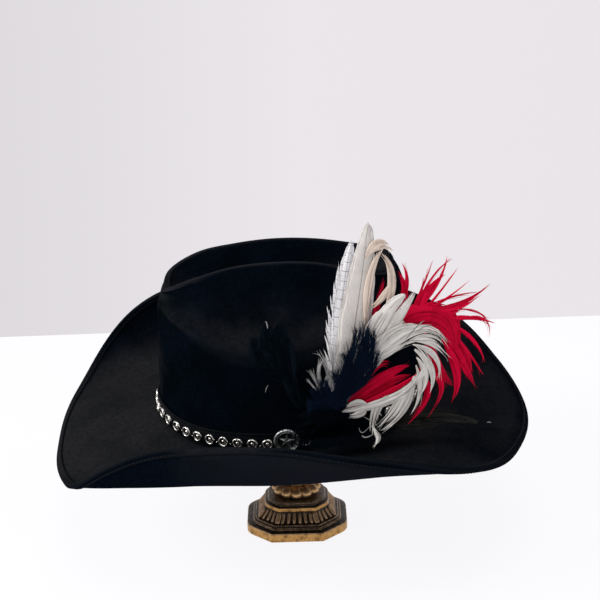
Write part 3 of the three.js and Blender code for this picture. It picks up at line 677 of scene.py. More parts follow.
# Which rows of the disc's faces are dark with tarnish.
GROUND_ROWS = (3, 5, 6)
STAR = {
    "arms": 5, "reach": 6.5, "waist": 0.42, "base": 1.1, "middle": 2.5, "tip": 1.7, "turn": -9,
    "top": 0.94, "valley": 0.25,
}


def rope_edge(radius, rope_radius, height, strands, steps, sides):
    """A ring of twisted rope that lies level."""
    sections = []
    for i in range(steps):
        turn = i / steps * 2 * math.pi
        section = []
        for k in range(sides):
            swing = k / sides * 2 * math.pi
            size = rope_radius * (0.86 + 0.2 * abs(math.cos((strands * turn + swing) / 2)))
            r = radius + size * math.cos(swing)
            section.append((r * math.cos(turn), r * math.sin(turn), height + size * math.sin(swing)))
        sections.append(section)
    return ring_of_sections(sections)


def star_relief():
    """A five-pointed star in relief, with a ridge down each arm and a steep side all round."""
    points = [(0, 0, STAR["middle"])]
    corners = 2 * STAR["arms"]
    for i in range(corners):
        arm = i % 2 == 0
        turn = math.radians(90 + STAR["turn"] + i * 360 / corners)
        reach = STAR["reach"] * (1 if arm else STAR["waist"])
        x, y = reach * math.cos(turn), reach * math.sin(turn)
        height = STAR["tip"] if arm else STAR["tip"] - STAR["valley"]
        points.append((x * STAR["top"], y * STAR["top"], height))
        points.append((x, y, STAR["base"]))
    faces = []
    for i in range(corners):
        a, b = 1 + 2 * i, 1 + 2 * ((i + 1) % corners)
        faces.append((0, a, b))
        faces.append((a, a + 1, b + 1, b))
    faces.append(tuple(2 + 2 * i for i in reversed(range(corners))))
    return points, faces


face_x = wall_point(math.pi / 2, MEDALLION["z"])[0] + strap_face
medallion_place = Matrix(((0, 0, 1), (1, 0, 0), (0, 1, 0))).to_4x4()
medallion_place.translation = (face_x + GAP + MEDALLION["off"], MEDALLION["y"], MEDALLION["z"])
disc_profile = [
    (MEDALLION["radius"] - 0.5, 0), (MEDALLION["radius"], 0.3), (MEDALLION["radius"], 1.2),
    (MEDALLION["radius"] - 1.6, MEDALLION["ground"]), (7.4, MEDALLION["ground"] + 0.35),
    (7.0, MEDALLION["ground"] + 0.35), (6.8, MEDALLION["ground"] - 0.5), (0, MEDALLION["ground"] - 0.5),
]
star = star_relief()
disc = lathed(disc_profile, MEDALLION["sides"])
points, faces = joined([disc, *[rope_edge(*row) for row in ROPES], star])
points = [hat_place @ (medallion_place @ Vector(p)) * 1000 for p in points]
concho_colours = [(0.38, (0.03, 0.035, 0.04)), (0.50, (0.30, 0.32, 0.33)), (0.62, (0.88, 0.89, 0.87))]
concho_silver = pitted_finish("medallion_silver", (500, 5, 0.7), concho_colours, (0.45, 0.25), 0.0003, 0.95)
medallion = new_piece("star_concho", points, faces, stand_place, [concho_silver, dark_tarnish])
ground = [int(k // MEDALLION["sides"] in GROUND_ROWS) for k in range(len(faces))]
medallion.data.polygons.foreach_set("material_index", ground)
flat_from = len(faces) - len(star[1])
medallion.data.polygons.foreach_set("use_smooth", [k < flat_from for k in range(len(faces))])
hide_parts("star_medallion")
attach(medallion, "root")


# The plumes.
# Dyed and natural feathers, each a quill with soft barbs that have split into locks. They fan out over the
# crown from a tuft of down beside the medallion, where their quills are bound together and tucked behind it.

# The leaning sheet that the feathers lie on, which turns outwards over the brim, then the layers on it, then
# the middle and the half sizes of the tuft of down, in mm.
SHEET = {"x": 97, "lean_z": -0.1, "lean_y": -0.08, "from_y": 20, "clear_z": 14, "clear_slope": 1.2}
LAYER = {"pitch": 1.7, "spread": 0.006, "rise_out": 0.51, "shift_out": -0.05}
HEAD = {"y": 34, "z": 24, "half_y": 21, "half_z": 17, "half_x": 16, "locks": 11, "lock_depth": 0.14}

# Each feather's layer over the crown, its sort and its locks. A lock is its root, middle and tip as mm back
# and mm up, then its width in mm, which is at LOCK_WIDTH.
LOCK_WIDTH = 6
FEATHERS = {
    "white_barred": (0, "barred", [
        (42, 40, 50, 98, 64, 156, 16), (44, 70, 49, 112, 56, 148, 4), (44, 62, 49, 100, 52, 131, 4),
        (43, 54, 45, 88, 47, 116, 4), (42, 50, 42, 80, 43, 104, 3),
    ]),
    "crown_plume": (0, "ink", [
        (18, 32, 9, 54, 2, 104, 9), (12, 54, -1, 80, -2, 104, 13), (11, 54, -9, 74, -12, 94, 11),
        (11, 54, 6, 80, 8, 103, 12), (12, 54, 12, 76, 10, 90, 8),
    ]),
    "red_back": (0, "red", [
        (46, 28, 72, 70, 88, 118, 7), (72, 86, 78, 106, 86, 127, 5), (76, 88, 97, 108, 94, 132, 8),
        (90, 100, 100, 118, 98, 135, 4), (70, 92, 77, 98, 88, 108, 5),
    ]),
    "brim_plume": (0, "olive", [
        (48, 16, 104, 15, 145, 5, 7), (86, 15, 112, 17, 134, 12, 6), (66, 14, 92, 9, 120, 8, 6),
    ]),
    "white_tall": (1, "ivory", [
        (46, 40, 63, 104, 77, 167, 23), (56, 62, 66, 84, 69, 104, 5),
    ]),
    "red_fan": (1, "red", [
        (52, 32, 74, 70, 96, 90, 7), (84, 80, 106, 96, 128, 88, 15), (100, 88, 122, 84, 130, 64, 12),
        (108, 96, 127, 88, 130, 62, 15), (98, 92, 112, 116, 120, 134, 2), (104, 96, 122, 116, 130, 136, 3),
        (104, 98, 119, 121, 134, 133, 2), (106, 96, 116, 113, 129, 122, 4), (112, 97, 137, 99, 160, 111, 4),
        (108, 94, 124, 110, 138, 126, 2), (110, 96, 128, 104, 146, 116, 2), (96, 88, 108, 106, 112, 122, 3),
        (112, 100, 136, 105, 151, 105, 2), (118, 96, 138, 97, 152, 105, 5), (116, 93, 131, 93, 141, 97, 5),
        (134, 95, 150, 90, 156, 80, 2), (122, 88, 143, 87, 162, 80, 4), (134, 87, 153, 85, 156, 70, 2),
        (130, 84, 145, 69, 152, 51, 4), (132, 76, 143, 56, 150, 42, 3), (126, 78, 136, 53, 145, 32, 8),
        (133, 74, 140, 56, 141, 41, 5), (122, 74, 131, 45, 125, 21, 7), (110, 80, 117, 54, 128, 36, 9),
    ]),
    "white_bent": (2, "beige", [
        (46, 30, 75, 74, 83, 102, 6), (82, 94, 90, 125, 82, 145, 7), (73, 141, 82, 150, 90, 148, 7),
        (78, 144, 87, 147, 92, 143, 3), (68, 90, 75, 128, 88, 149, 6), (88, 120, 81, 109, 70, 103, 5),
    ]),
    "white_fluff": (2, "grey", [
        (39, 48, 42, 70, 39, 93, 2), (41, 50, 44, 66, 47, 84, 2), (36, 44, 38, 60, 32, 78, 2.5),
        (34, 44, 31, 57, 34, 71, 2), (31, 42, 29, 52, 26, 64, 2.5), (30, 44, 26, 50, 22, 57, 2),
        (41, 46, 46, 62, 53, 83, 3), (34, 50, 42, 58, 51, 58, 2), (33, 46, 37, 56, 43, 64, 2),
        (44, 52, 49, 62, 54, 72, 2.5),
    ]),
    "white_middle": (4, "ivory", [
        (44, 34, 76, 88, 99, 110, 10), (46, 34, 86, 86, 106, 112, 9), (45, 34, 80, 90, 90, 104, 10),
        (44, 34, 70, 82, 82, 99, 10), (46, 34, 84, 76, 95, 91, 9),
    ]),
    "red_low": (3, "red", [
        (46, 30, 77, 50, 98, 57, 10), (48, 30, 69, 56, 84, 60, 7), (46, 29, 80, 45, 98, 49, 9),
        (46, 28, 72, 40, 92, 42, 7), (46, 27, 66, 36, 78, 38, 5),
    ]),
    "white_sweep": (5, "white", [
        (42, 34, 99, 81, 127, 64, 10), (43, 34, 84, 81, 112, 79, 9), (91, 81, 101, 86, 113, 82, 3),
        (104, 74, 117, 69, 126, 56, 5), (96, 73, 112, 76, 122, 68, 6), (60, 58, 84, 68, 100, 76, 6),
    ]),
    "red_fringe": (5, "red", [
        (45, 27, 88, 41, 107, 54, 5), (104, 50, 108, 32, 91, 11, 6), (104, 52, 119, 38, 106, 13, 5),
        (102, 50, 113, 58, 117, 46, 4),
    ]),
    "white_crook": (6, "white", [
        (43, 28, 84, 33, 104, 52, 8), (92, 39, 110, 54, 101, 73, 8), (101, 72, 116, 61, 118, 42, 6),
        (102, 68, 113, 50, 109, 31, 6), (103, 62, 108, 46, 101, 31, 6), (102, 56, 103, 35, 94, 18, 4),
        (100, 48, 90, 24, 71, 9, 8), (92, 40, 85, 26, 69, 12, 9), (80, 35, 70, 24, 66, 6, 8),
        (66, 14, 70, 4, 66, -2, 3), (64, 31, 56, 33, 48, 29, 7), (64, 28, 57, 24, 50, 24, 7),
    ]),
    "navy_main": (7, "navy", [
        (28, 30, 57, 56, 70, 97, 8), (32, 30, 60, 58, 68, 90, 7), (38, 32, 67, 64, 72, 88, 6),
        (36, 32, 55, 66, 64, 91, 6), (50, 35, 40, 35, 20, 35, 9), (34, 30, 64, 52, 74, 72, 9),
        (30, 28, 42, 40, 54, 39, 8), (42, 26, 32, 38, 27, 49, 8), (44, 28, 37, 42, 34, 55, 8),
        (47, 30, 46, 46, 43, 61, 8), (52, 40, 55, 56, 52, 74, 7),
    ]),
}
# How each sort of feather lies: the slant of its barbs from the quill in degrees, the width in mm of the
# pointed leaves that they cling together in, how far neighbouring leaves overlap, the share of a leaf drawn
# out to its point, how far the leaves part and how far they gather at the tip. Then the loose barbs to each
# mm of width over 60 mm, how far those stray in mm, and the width from which a lock has a quill of its own.
Sort = namedtuple("Sort", "slant leaf overlap point part gather loose stray quilled")
SORTS = {
    "ivory": Sort(19, 2.8, 1.6, 0.60, 0.08, 0.75, 0.6, 0.8, 10),
    "beige": Sort(19, 2.6, 1.5, 0.65, 0.15, 0.70, 1.0, 1.0, 10),
    "barred": Sort(24, 2.4, 1.2, 0.75, 0.55, 0.60, 1.6, 1.2, 9),
    "white": Sort(21, 2.8, 1.2, 0.80, 0.24, 0.75, 1.0, 1.3, 99),
    "grey": Sort(24, 0.9, 1.0, 0.90, 0.8, 0.50, 10, 2.0, 99),
    "red": Sort(21, 3.2, 1.35, 0.78, 0.18, 0.85, 1.2, 1.7, 11),
    "navy": Sort(26, 1.6, 1.2, 0.80, 0.6, 0.50, 34, 3.0, 99),
    "ink": Sort(24, 3.4, 1.4, 0.50, 0.10, 0.35, 6, 1.4, 10),
    "olive": Sort(22, 2.6, 1.3, 0.50, 0.15, 0.35, 3, 1.0, 7),
}
# A lock no wider than this, in mm, may be a single leaf.
SINGLE_LEAF = 4.0
# The share of a quilled lock's width that its smooth vane takes up.
SMOOTH_WIDTH = {"ivory": 0.94, "beige": 0.94, "barred": 0.78, "red": 0.94}
# Across a leaf from edge to edge over its arched top, then back below, as shares of its half width and arch.
LEAF_SECTION = np.array([(-1, 0), (-0.6, 0.66), (0, 1), (0.6, 0.66), (1, 0), (0, -0.4)])
BARB_SECTION = np.array([(-1, 0), (0, 1.2), (1, 0)])
VANE_TOP = [(k / 6, 1 - abs(k / 6) ** 2.2 - 0.25 * (k == 0)) for k in range(-6, 7)]
VANE_SECTION = np.array(VANE_TOP + [(0.5, -0.2), (0, -0.3), (-0.5, -0.2)])
BARB_HALF_WIDTH = 0.13
BARB_LENGTHS = (12, 30)
# How many sections lie along a vane's leaf, a narrow lock's leaf, a loose barb and a smooth vane.
VANE_STEPS, LEAF_STEPS, BARB_STEPS, SHEET_STEPS = 12, 13, 8, 40
QUILL = {"rings": 16, "sides": 5, "ends_at": 0.97, "radius": 0.42, "taper": 0.7, "off": 0.95}
# How high each sort of strip arches at most, in mm.
SHEET_ARCH, VANE_ARCH, LEAF_ARCH, BARB_ARCH = 0.85, 0.18, 0.4, 0.3
# The shade that marks a quill. Barbs have a chance shade between 0 and 1.
ON_QUILL = -1


def on_sheet(y, z, layer, outwards):
    """The place over the crown of a point drawn flat as mm back and mm up; all may be arrays."""
    turned = np.maximum(SHEET["clear_z"] - z, 0) * SHEET["clear_slope"]
    y, z, outwards = y + LAYER["shift_out"] * turned, z + LAYER["rise_out"] * turned, outwards + turned
    from_head = np.hypot(y - HEAD["y"], z - HEAD["z"])
    off = layer * LAYER["pitch"] * (1 + LAYER["spread"] * from_head)
    x = SHEET["x"] + SHEET["lean_z"] * z + SHEET["lean_y"] * (y - SHEET["from_y"]) + off + outwards
    return np.stack([x, y + LAYER["shift_out"] * off, z + LAYER["rise_out"] * off], axis=-1)


def lock_line(lock, s):
    """Points, directions and half widths along one lock, at shares s of its middle line."""
    root, middle, tip = (np.array(lock[k:k + 2], float) for k in (0, 2, 4))
    control = 2 * middle - (root + tip) / 2
    t = s[..., None]
    point = (1 - t) ** 2 * root + 2 * t * (1 - t) * control + t**2 * tip
    way = 2 * (1 - t) * (control - root) + 2 * t * (tip - control)
    way = way / np.linalg.norm(way, axis=-1, keepdims=True)
    half = lock[LOCK_WIDTH] / 2 * np.minimum(1, 0.45 + 1.3 * s) * np.maximum(1 - s**3, 0) ** 0.8
    return point, way, half


def lock_length(lock):
    point, _, _ = lock_line(lock, np.linspace(0, 1, 20))
    return float(np.linalg.norm(np.diff(point, axis=0), axis=1).sum())


def sideways(way):
    """Directions across a line that is drawn flat."""
    return np.stack([way[..., 1], -way[..., 0]], axis=-1)


def leaf_outline(tau, pointed):
    """Half width along a leaf, as a share of its widest, with its end drawn to a point."""
    drawn = np.clip((tau - 1 + pointed) / pointed, 0, 1)
    return np.minimum(1, 0.2 + 2.6 * tau) * (1 - drawn**1.4) ** 0.95


def vane_leaves(lock, sort, chance):
    """Leaves of barbs that leave the quill of a broad lock on both sides."""
    kind = SORTS[sort]
    slant = math.radians(kind.slant)
    length = lock_length(lock)
    pitch = kind.leaf / math.sin(slant) / length
    reach = min(lock[LOCK_WIDTH] / 2 / math.tan(slant) / length, 0.5)
    count = math.ceil(1 / pitch) + 1
    tau = np.linspace(0, 1, VANE_STEPS)
    leaves = []
    for side in (-1, 1):
        start = (np.arange(count) - 0.8 + chance.uniform(-0.2, 0.2, count)) * pitch
        start = np.minimum(start, 0.93)
        end = start + reach * chance.uniform(1.0, 1.25, count) + pitch * 0.4
        end = np.minimum(end, 1 - 0.02 * chance.random(count))
        s = np.clip(start[:, None] + (end - start)[:, None] * tau, 0.0, 1.0)
        point, way, half = lock_line(lock, s)
        swing = np.sin(tau * math.pi / 2) ** 0.9 * (1 + kind.part * chance.random((count, 1)) * tau**2)
        lateral = side * (0.25 + half * swing)
        drawn = leaf_outline(tau, kind.point) * np.minimum(1, 0.12 + half / kind.leaf)
        width = kind.leaf / 2 * kind.overlap * drawn
        stagger = 0.08 * (np.arange(count) % 2)[:, None]
        depth = -0.7 * (lateral / (lock[LOCK_WIDTH] / 2)) ** 2 + stagger + 0.3
        line = point + sideways(way) * lateral[..., None]
        leaves.append((line, depth, width, s * length, VANE_ARCH))
    return leaves


def smooth_vane(lock, sort, layer, chance):
    """The vane of a broad lock as one smooth arched sheet, with marks that follow its slanting barbs."""
    tau = np.linspace(0, 1, SHEET_STEPS)
    point, _, half = lock_line(lock, tau[None])
    wave = 1 + 0.05 * np.sin(tau * 23 + chance.uniform(0, 6.3)) * np.sin(tau * 9 + chance.uniform(0, 6.3))
    width = half * wave * SMOOTH_WIDTH[sort]
    along = tau[None] * lock_length(lock)
    depth = 0.35 + 0 * along
    points, faces, marks = closed_strips(VANE_SECTION, point, depth, width, along, SHEET_ARCH, layer, chance)
    slant = math.radians(SORTS[sort].slant)
    marks[:, 2] = marks[:, 1] * math.sin(slant) - np.abs(marks[:, 2]) * math.cos(slant)
    return points, faces, marks


def side_by_side_leaves(lock, sort, chance):
    """Leaves of barbs that run along a narrow lock side by side."""
    kind = SORTS[sort]
    full = lock[LOCK_WIDTH]
    length = lock_length(lock)
    count = max(1 if full <= SINGLE_LEAF else 2, round(full / kind.leaf))
    overlap = kind.overlap if count > 1 else 1
    seat = (np.arange(count) + 0.5) / count * 2 - 1 + chance.normal(0, 0.04, count)
    end = 1 - (0.22 + 0.4 * kind.part) * np.abs(seat) * chance.random(count)
    tau = np.linspace(0, 1, LEAF_STEPS)
    s = end[:, None] * tau
    point, way, _ = lock_line(lock, s)
    apart = 1 + kind.part * tau**2 * chance.uniform(0.3, 1.4, (count, 1))
    spread = full / 2 * np.minimum(1, 0.2 + 1.8 * s) * (1 - kind.gather * s**2.5) * apart
    lateral = seat[:, None] * (1 - 0.5 / count) * spread
    lateral += kind.part * 2.0 * tau**3 * chance.normal(0, 1, (count, 1))
    width = full / 2 / count * overlap * leaf_outline(tau, kind.point)
    width = width * chance.uniform(0.85, 1.15, (count, 1))
    layered = chance.permutation(count)[:, None] / max(count - 1, 1)
    depth = 0.55 * layered - 0.4 * seat[:, None] ** 2 + 0.1 + 0 * s
    line = point + sideways(way) * lateral[..., None]
    return [(line, depth, width, s * length, LEAF_ARCH)]


def loose_barbs(lock, sort, chance):
    """Single fine barbs that have come away from the leaves and stray past them."""
    kind = SORTS[sort]
    length = lock_length(lock)
    count = max(4, int(kind.loose * lock[LOCK_WIDTH] * length / 60))
    seat = chance.uniform(-0.95, 0.95, (count, 1))
    start = chance.uniform(0.0, 0.8, (count, 1))
    end = np.minimum(start + chance.uniform(*BARB_LENGTHS, (count, 1)) / length, 1.0)
    tau = np.linspace(0, 1, BARB_STEPS)
    s = start + (end - start) * tau
    point, way, half = lock_line(lock, s)
    spread = np.maximum(half, lock[LOCK_WIDTH] / 2 * 0.3)
    astray = np.sign(seat) * kind.stray * tau**2 * np.abs(chance.normal(0, 1, (count, 1)))
    lateral = seat * spread * (0.75 + 0.35 * tau) + astray
    lateral += 0.3 * kind.stray * tau * np.sin(tau * 4 + chance.uniform(0, 6.3, (count, 1)))
    depth = 0.75 - 0.5 * seat**2 + kind.stray * 0.5 * tau**2 * chance.normal(0.3, 1, (count, 1))
    width = BARB_HALF_WIDTH * np.clip(1.2 - tau**2, 0.1, 1) * chance.uniform(0.6, 1.3, (count, 1))
    line = point + sideways(way) * lateral[..., None]
    return line, depth, width, s * length, BARB_ARCH


def closed_strips(section, line, depth, width, along, arch, layer, chance):
    """Closed strips of one section round many middle lines, each ending in a point, with their marks.

    The marks are a chance shade for each strip, mm along the feather, and mm across the strip."""
    count, steps = width.shape
    way = np.gradient(line, axis=1)
    way = way / np.maximum(np.linalg.norm(way, axis=-1, keepdims=True), 1e-9)
    off = width[..., None] * section[:, 0]
    flat = line[:, :, None] + sideways(way)[:, :, None] * off[..., None]
    out = depth[..., None] + np.minimum(width * 0.8, arch)[..., None] * section[:, 1]
    rings = on_sheet(flat[..., 0], flat[..., 1], layer, out)[:, :-1]
    tips = on_sheet(line[:, -1:, 0], line[:, -1:, 1], layer, depth[:, -1:])
    sides = len(section)
    size = (steps - 1) * sides + 1
    points = np.concatenate([rings.reshape(count, -1, 3), tips], axis=1).reshape(-1, 3)
    shade = np.broadcast_to(chance.random((count, 1)), (count, size))
    run = np.concatenate([np.repeat(along[:, :-1], sides, axis=1), along[:, -1:]], axis=1)
    across = np.concatenate([off[:, :-1].reshape(count, -1), np.zeros((count, 1))], axis=1)
    marks = np.stack([shade, run, across], axis=-1).reshape(-1, 3)
    pattern = []
    for ring in range(steps - 2):
        for k in range(sides):
            a, b = ring * sides + k, ring * sides + (k + 1) % sides
            pattern += [(a, b, b + sides), (a, b + sides, a + sides)]
    last = (steps - 2) * sides
    pattern += [(last + k, last + (k + 1) % sides, size - 1) for k in range(sides)]
    pattern += [(0, k + 1, k) for k in range(1, sides - 1)]
    faces = (np.array(pattern)[None] + (np.arange(count) * size)[:, None, None]).reshape(-1, 3)
    return points, faces, marks


def quill(lock, layer):
    """A fine tapering quill down the middle of a broad lock."""
    rings, sides = QUILL["rings"], QUILL["sides"]
    s = np.linspace(0, QUILL["ends_at"], rings)
    point, way, _ = lock_line(lock, s)
    across = sideways(way)
    points, faces = [], []
    for k in range(rings):
        radius = QUILL["radius"] * (1 - s[k] * QUILL["taper"])
        for turn in range(sides):
            swing = turn / sides * 2 * math.pi
            flat = point[k] + across[k] * radius * math.cos(swing)
            points.append(on_sheet(flat[0], flat[1], layer, QUILL["off"] + radius * math.sin(swing)))
    last = (rings - 1) * sides
    for ring in range(0, last, sides):
        for turn in range(sides):
            a, b = ring + turn, ring + (turn + 1) % sides
            faces += [(a, b + sides, b), (a, a + sides, b + sides)]
    faces += [(k, k + 1, sides - 1) for k in range(sides - 3, -1, -1)]
    faces += [(last + k + 1, last + k, last) for k in range(1, sides - 1)]
    marks = np.zeros((len(points), 3))
    marks[:, 0] = ON_QUILL
    marks[:, 1] = np.repeat(s, sides) * lock_length(lock)
    return np.array(points), np.array(faces), marks


# The thin bars of the barred feather: mm from one to the next, how wide each is and how far it wanders in mm,
# how steeply it slopes, how strong it is, and its colour.
BARS = {"pitch": 7.2, "width": 0.38, "wander": 2.5, "slope": 0.12, "strength": 0.85}
BAR_COLOUR = (0.06, 0.06, 0.07)


def plume_finish(name, dark, light, quill_colour, gloss, barred):
    """Dyed barbs: fine lines along each, a shade for each leaf and soft patches over the whole feather."""
    plume, tree, shader, place = finish(name)
    marks = node(tree, "Attribute", attribute_name="barb").outputs["Vector"]
    shade, along, across = node(tree, "SeparateXYZ", {0: marks}).outputs
    apart = maths(tree, "MULTIPLY_ADD", shade, 37.0, across)
    slow = maths(tree, "MULTIPLY", along, 0.05)
    lines = noise(tree, node(tree, "CombineXYZ", {0: apart, 1: slow, 2: shade}).outputs[0], 2.6, 3, 0.7)
    patches = noise(tree, place, 90, 3)
    shaded = maths(tree, "MULTIPLY_ADD", shade, 0.2, maths(tree, "MULTIPLY", lines, 0.5))
    total = maths(tree, "MULTIPLY_ADD", patches, 0.3, shaded)
    colour = ramp(tree, total, [(0.32, dark), (0.56, light)])
    if barred:
        wander = maths(tree, "MULTIPLY", noise(tree, place, 160, 2), BARS["wander"])
        moved = maths(tree, "MULTIPLY_ADD", across, BARS["slope"], maths(tree, "ADD", along, wander))
        beat = maths(tree, "MODULO", moved, BARS["pitch"])
        bar = maths(tree, "LESS_THAN", beat, BARS["width"])
        colour = mixed(tree, maths(tree, "MULTIPLY", bar, BARS["strength"]), colour, BAR_COLOUR)
    colour = mixed(tree, maths(tree, "LESS_THAN", shade, ON_QUILL / 2), colour, quill_colour)
    fill(tree, shader, {
        "Base Color": colour,
        "Normal": bumped(tree, lines, 0.0003, 0.5),
        "Roughness": ramp(tree, patches, [(0.3, 0.5), (0.7, 0.7)]),
        "Specular IOR Level": gloss,
    })
    return plume


# Finish of each sort: its dye where it is dark and light, its quill's colour, and how glossy it is.
PLUME_COLOURS = {
    "ivory": ("ivory_plume", (0.50, 0.47, 0.44), (0.74, 0.71, 0.68), (0.24, 0.20, 0.17), 0.2),
    "beige": ("beige_plume", (0.44, 0.36, 0.30), (0.72, 0.60, 0.51), (0.16, 0.12, 0.10), 0.2),
    "barred": ("barred_plume", (0.56, 0.56, 0.57), (0.84, 0.83, 0.85), (0.3, 0.3, 0.3), 0.2),
    "white": ("white_plume", (0.42, 0.40, 0.37), (0.72, 0.70, 0.67), (0.50, 0.42, 0.40), 0.2),
    "grey": ("grey_plume", (0.22, 0.22, 0.22), (0.62, 0.61, 0.60), (0.2, 0.2, 0.2), 0.2),
    "red": ("crimson_plume", (0.34, 0.001, 0.014), (0.66, 0.003, 0.040), (0.20, 0.001, 0.010), 0.03),
    "navy": ("navy_plume", (0.0008, 0.0022, 0.0060), (0.0050, 0.0130, 0.0320), (0.003, 0.004, 0.008), 0.02),
    "ink": ("ink_plume", (0.0006, 0.0020, 0.0028), (0.0030, 0.0066, 0.0105), (0.001, 0.002, 0.003), 0.01),
    "wisp": ("stray_wisps", (0.10, 0.10, 0.10), (0.28, 0.27, 0.26), (0.2, 0.2, 0.2), 0.2),
    "down": ("down_plume", (0.0005, 0.0014, 0.0018), (0.0020, 0.0042, 0.0080), (0.001, 0.002, 0.003), 0.01),
    "olive": ("olive_plume", (0.0044, 0.005, 0.0044), (0.021, 0.021, 0.0195), (0.006, 0.007, 0.006), 0.02),
}
PLUME_FINISHES = {sort: plume_finish(*row, sort == "barred") for sort, row in PLUME_COLOURS.items()}


def plume_piece(name, parts, material):
    """One mesh from several sets of strips, with their marks kept on its points."""
    points, faces, marks, base = [], [], [], 0
    for more_points, more_faces, more_marks in parts:
        points.append(more_points)
        faces.append(more_faces + base)
        marks.append(more_marks)
        base += len(more_points)
    points, marks = np.concatenate(points), np.concatenate(marks)
    piece = new_piece(name, points, np.concatenate(faces).tolist(), hat_place, [material])
    barb = piece.data.attributes.new("barb", "FLOAT_VECTOR", "POINT")
    barb.data.foreach_set("vector", marks.astype(np.float32).ravel())
    return piece


for number, (name, (layer, sort, locks)) in enumerate(FEATHERS.items()):
    chance = np.random.default_rng(100 + number)
    parts = []
    for lock in locks:
        quilled = lock[LOCK_WIDTH] >= SORTS[sort].quilled
        made = vane_leaves(lock, sort, chance) if quilled else side_by_side_leaves(lock, sort, chance)
        parts += [closed_strips(LEAF_SECTION, *leaves, layer, chance) for leaves in made]
        parts.append(closed_strips(BARB_SECTION, *loose_barbs(lock, sort, chance), layer, chance))
        if quilled and sort in SMOOTH_WIDTH:
            parts.append(smooth_vane(lock, sort, layer, chance))
            parts.append(quill(lock, layer))
    plume = plume_piece("plume_" + name, parts, PLUME_FINISHES[sort])
    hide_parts(name)
    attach(plume, "root")


# Stray wisps and tips.
# Single curled barbs of the white plumes that have come away from them, and the pale tips of three small
# feathers beside the crown plume and the brim plume. Each is its layer and its lock, written as above.
WISPS = [
    (7, (57, 14, 60, 10, 67, 17, 0.7)), (7, (61, 22, 66, 18, 71, 13, 0.6)),
    (7, (59, 8, 62, 6, 68, 8, 1)), (7, (69, 10, 72, 5, 70, 0, 1.5)),
    (8, (96, 76, 104, 84, 111, 89, 0.9)), (8, (104, 81, 110, 84, 116, 84, 0.9)),
    (8, (92, 72, 99, 75, 107, 74, 0.8)), (1, (-3, 104, -2, 102, -2, 98, 0.9)),
    (1, (-9, 50, -8, 53, -6, 56, 0.5)), (1, (150, 5, 152, 5, 153, 4, 0.6)),
    (7, (88, 34, 96, 38, 103, 47, 0.6)),
]


def wisp(lock, layer, chance):
    """One slim curved strip along a lock, widest in its middle."""
    tau = np.linspace(0, 1, 14)[None]
    point, _, _ = lock_line(lock, tau)
    swell = np.sin(math.pi * np.clip(tau * 0.92 + 0.06, 0, 1))
    width = lock[LOCK_WIDTH] / 2 * np.clip(swell, 0.08, 1) ** 0.6
    along = tau * lock_length(lock)
    return closed_strips(LEAF_SECTION, point, 0.9 + 0 * tau, width, along, LEAF_ARCH, layer, chance)


chance = np.random.default_rng(61)
parts = [wisp(lock, layer, chance) for layer, lock in WISPS]
wisps = plume_piece("plume_stray_wisps", parts, PLUME_FINISHES["wisp"])
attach(wisps, "root")


# The tuft of down.
# Blue-black marabou down, bound over the quills where they meet. Fine barbs spring from a soft core in
# overlapping whorls and lie outwards over the crown and the band.
DOWN = {"whorls": 7, "barbs": 300, "half_width": 0.16, "reach": 0.42, "length": 20, "curl": 0.25}
# The core's rings and sides, its size as a share of the tuft's, and how far it reaches behind the middle.
CORE = {"rings": 14, "sides": 44, "size": 0.80, "behind": 0.25}


def down_edge(turn):
    """How far out the edge of the down reaches at a turn, between its locks and on them."""
    return 1 + HEAD["lock_depth"] * np.cos(HEAD["locks"] * turn)


def down_core():
    """A soft closed cushion a little inside the tips of the down."""
    points, faces = [], []
    rings, sides, size = CORE["rings"], CORE["sides"], CORE["size"]
    for i in range(1, rings):
        tilt = math.pi * i / rings
        for k in range(sides):
            turn = k / sides * 2 * math.pi
            reach = size * down_edge(turn) ** (math.sin(tilt) ** 2)
            y, z = math.cos(turn) * math.sin(tilt) * reach, math.sin(turn) * math.sin(tilt) * reach
            points.append((y, z, math.cos(tilt) * size))
    points += [(0, 0, size), (0, 0, -size)]
    last = (rings - 2) * sides
    for ring in range(0, last, sides):
        for k in range(sides):
            a, b = ring + k, ring + (k + 1) % sides
            faces += [(a, a + sides, b + sides), (a, b + sides, b)]
    for k in range(sides):
        m = (k + 1) % sides
        faces += [(len(points) - 2, k, m), (len(points) - 1, last + m, last + k)]
    flat = np.array(points)
    out = np.maximum(flat[:, 2], -CORE["behind"]) * HEAD["half_x"]
    y = HEAD["y"] + flat[:, 0] * HEAD["half_y"]
    z = HEAD["z"] + flat[:, 1] * HEAD["half_z"] + out * LAYER["rise_out"]
    return on_sheet(y, z, 0, out), np.array(faces), np.zeros((len(points), 3))


def down_barbs(y, z, out, width, tau, chance):
    """Fine barbs of down through points as mm back, mm up and mm outwards."""
    line = np.stack([y, z], axis=-1)
    along = tau * DOWN["length"] + 0 * width
    return closed_strips(BARB_SECTION, line, out, width, along, BARB_ARCH, 0, chance)


def down_whorl(start, chance):
    """One whorl of barbs that spring from the core at a share of the tuft's reach."""
    count = int(DOWN["barbs"] * (0.5 + start))
    turn = chance.uniform(0, 2 * math.pi, (count, 1))
    tau = np.linspace(0, 1, 7)
    swing = turn + chance.normal(0, DOWN["curl"], (count, 1)) * tau
    far = start + DOWN["reach"] * tau * chance.uniform(0.7, 1.2, (count, 1))
    rho = far * down_edge(swing)
    out = HEAD["half_x"] * np.sqrt(np.maximum(1 - np.minimum(far, 1) ** 2, 0)) * 0.92
    out += 1.5 * tau * chance.random((count, 1))
    y = HEAD["y"] + np.cos(swing) * rho * HEAD["half_y"]
    z = HEAD["z"] + np.sin(swing) * rho * HEAD["half_z"] + out * LAYER["rise_out"]
    width = DOWN["half_width"] * np.clip(1.2 - tau**2, 0.1, 1) * chance.uniform(0.7, 1.3, (count, 1))
    return down_barbs(y, z, out, width, tau, chance)


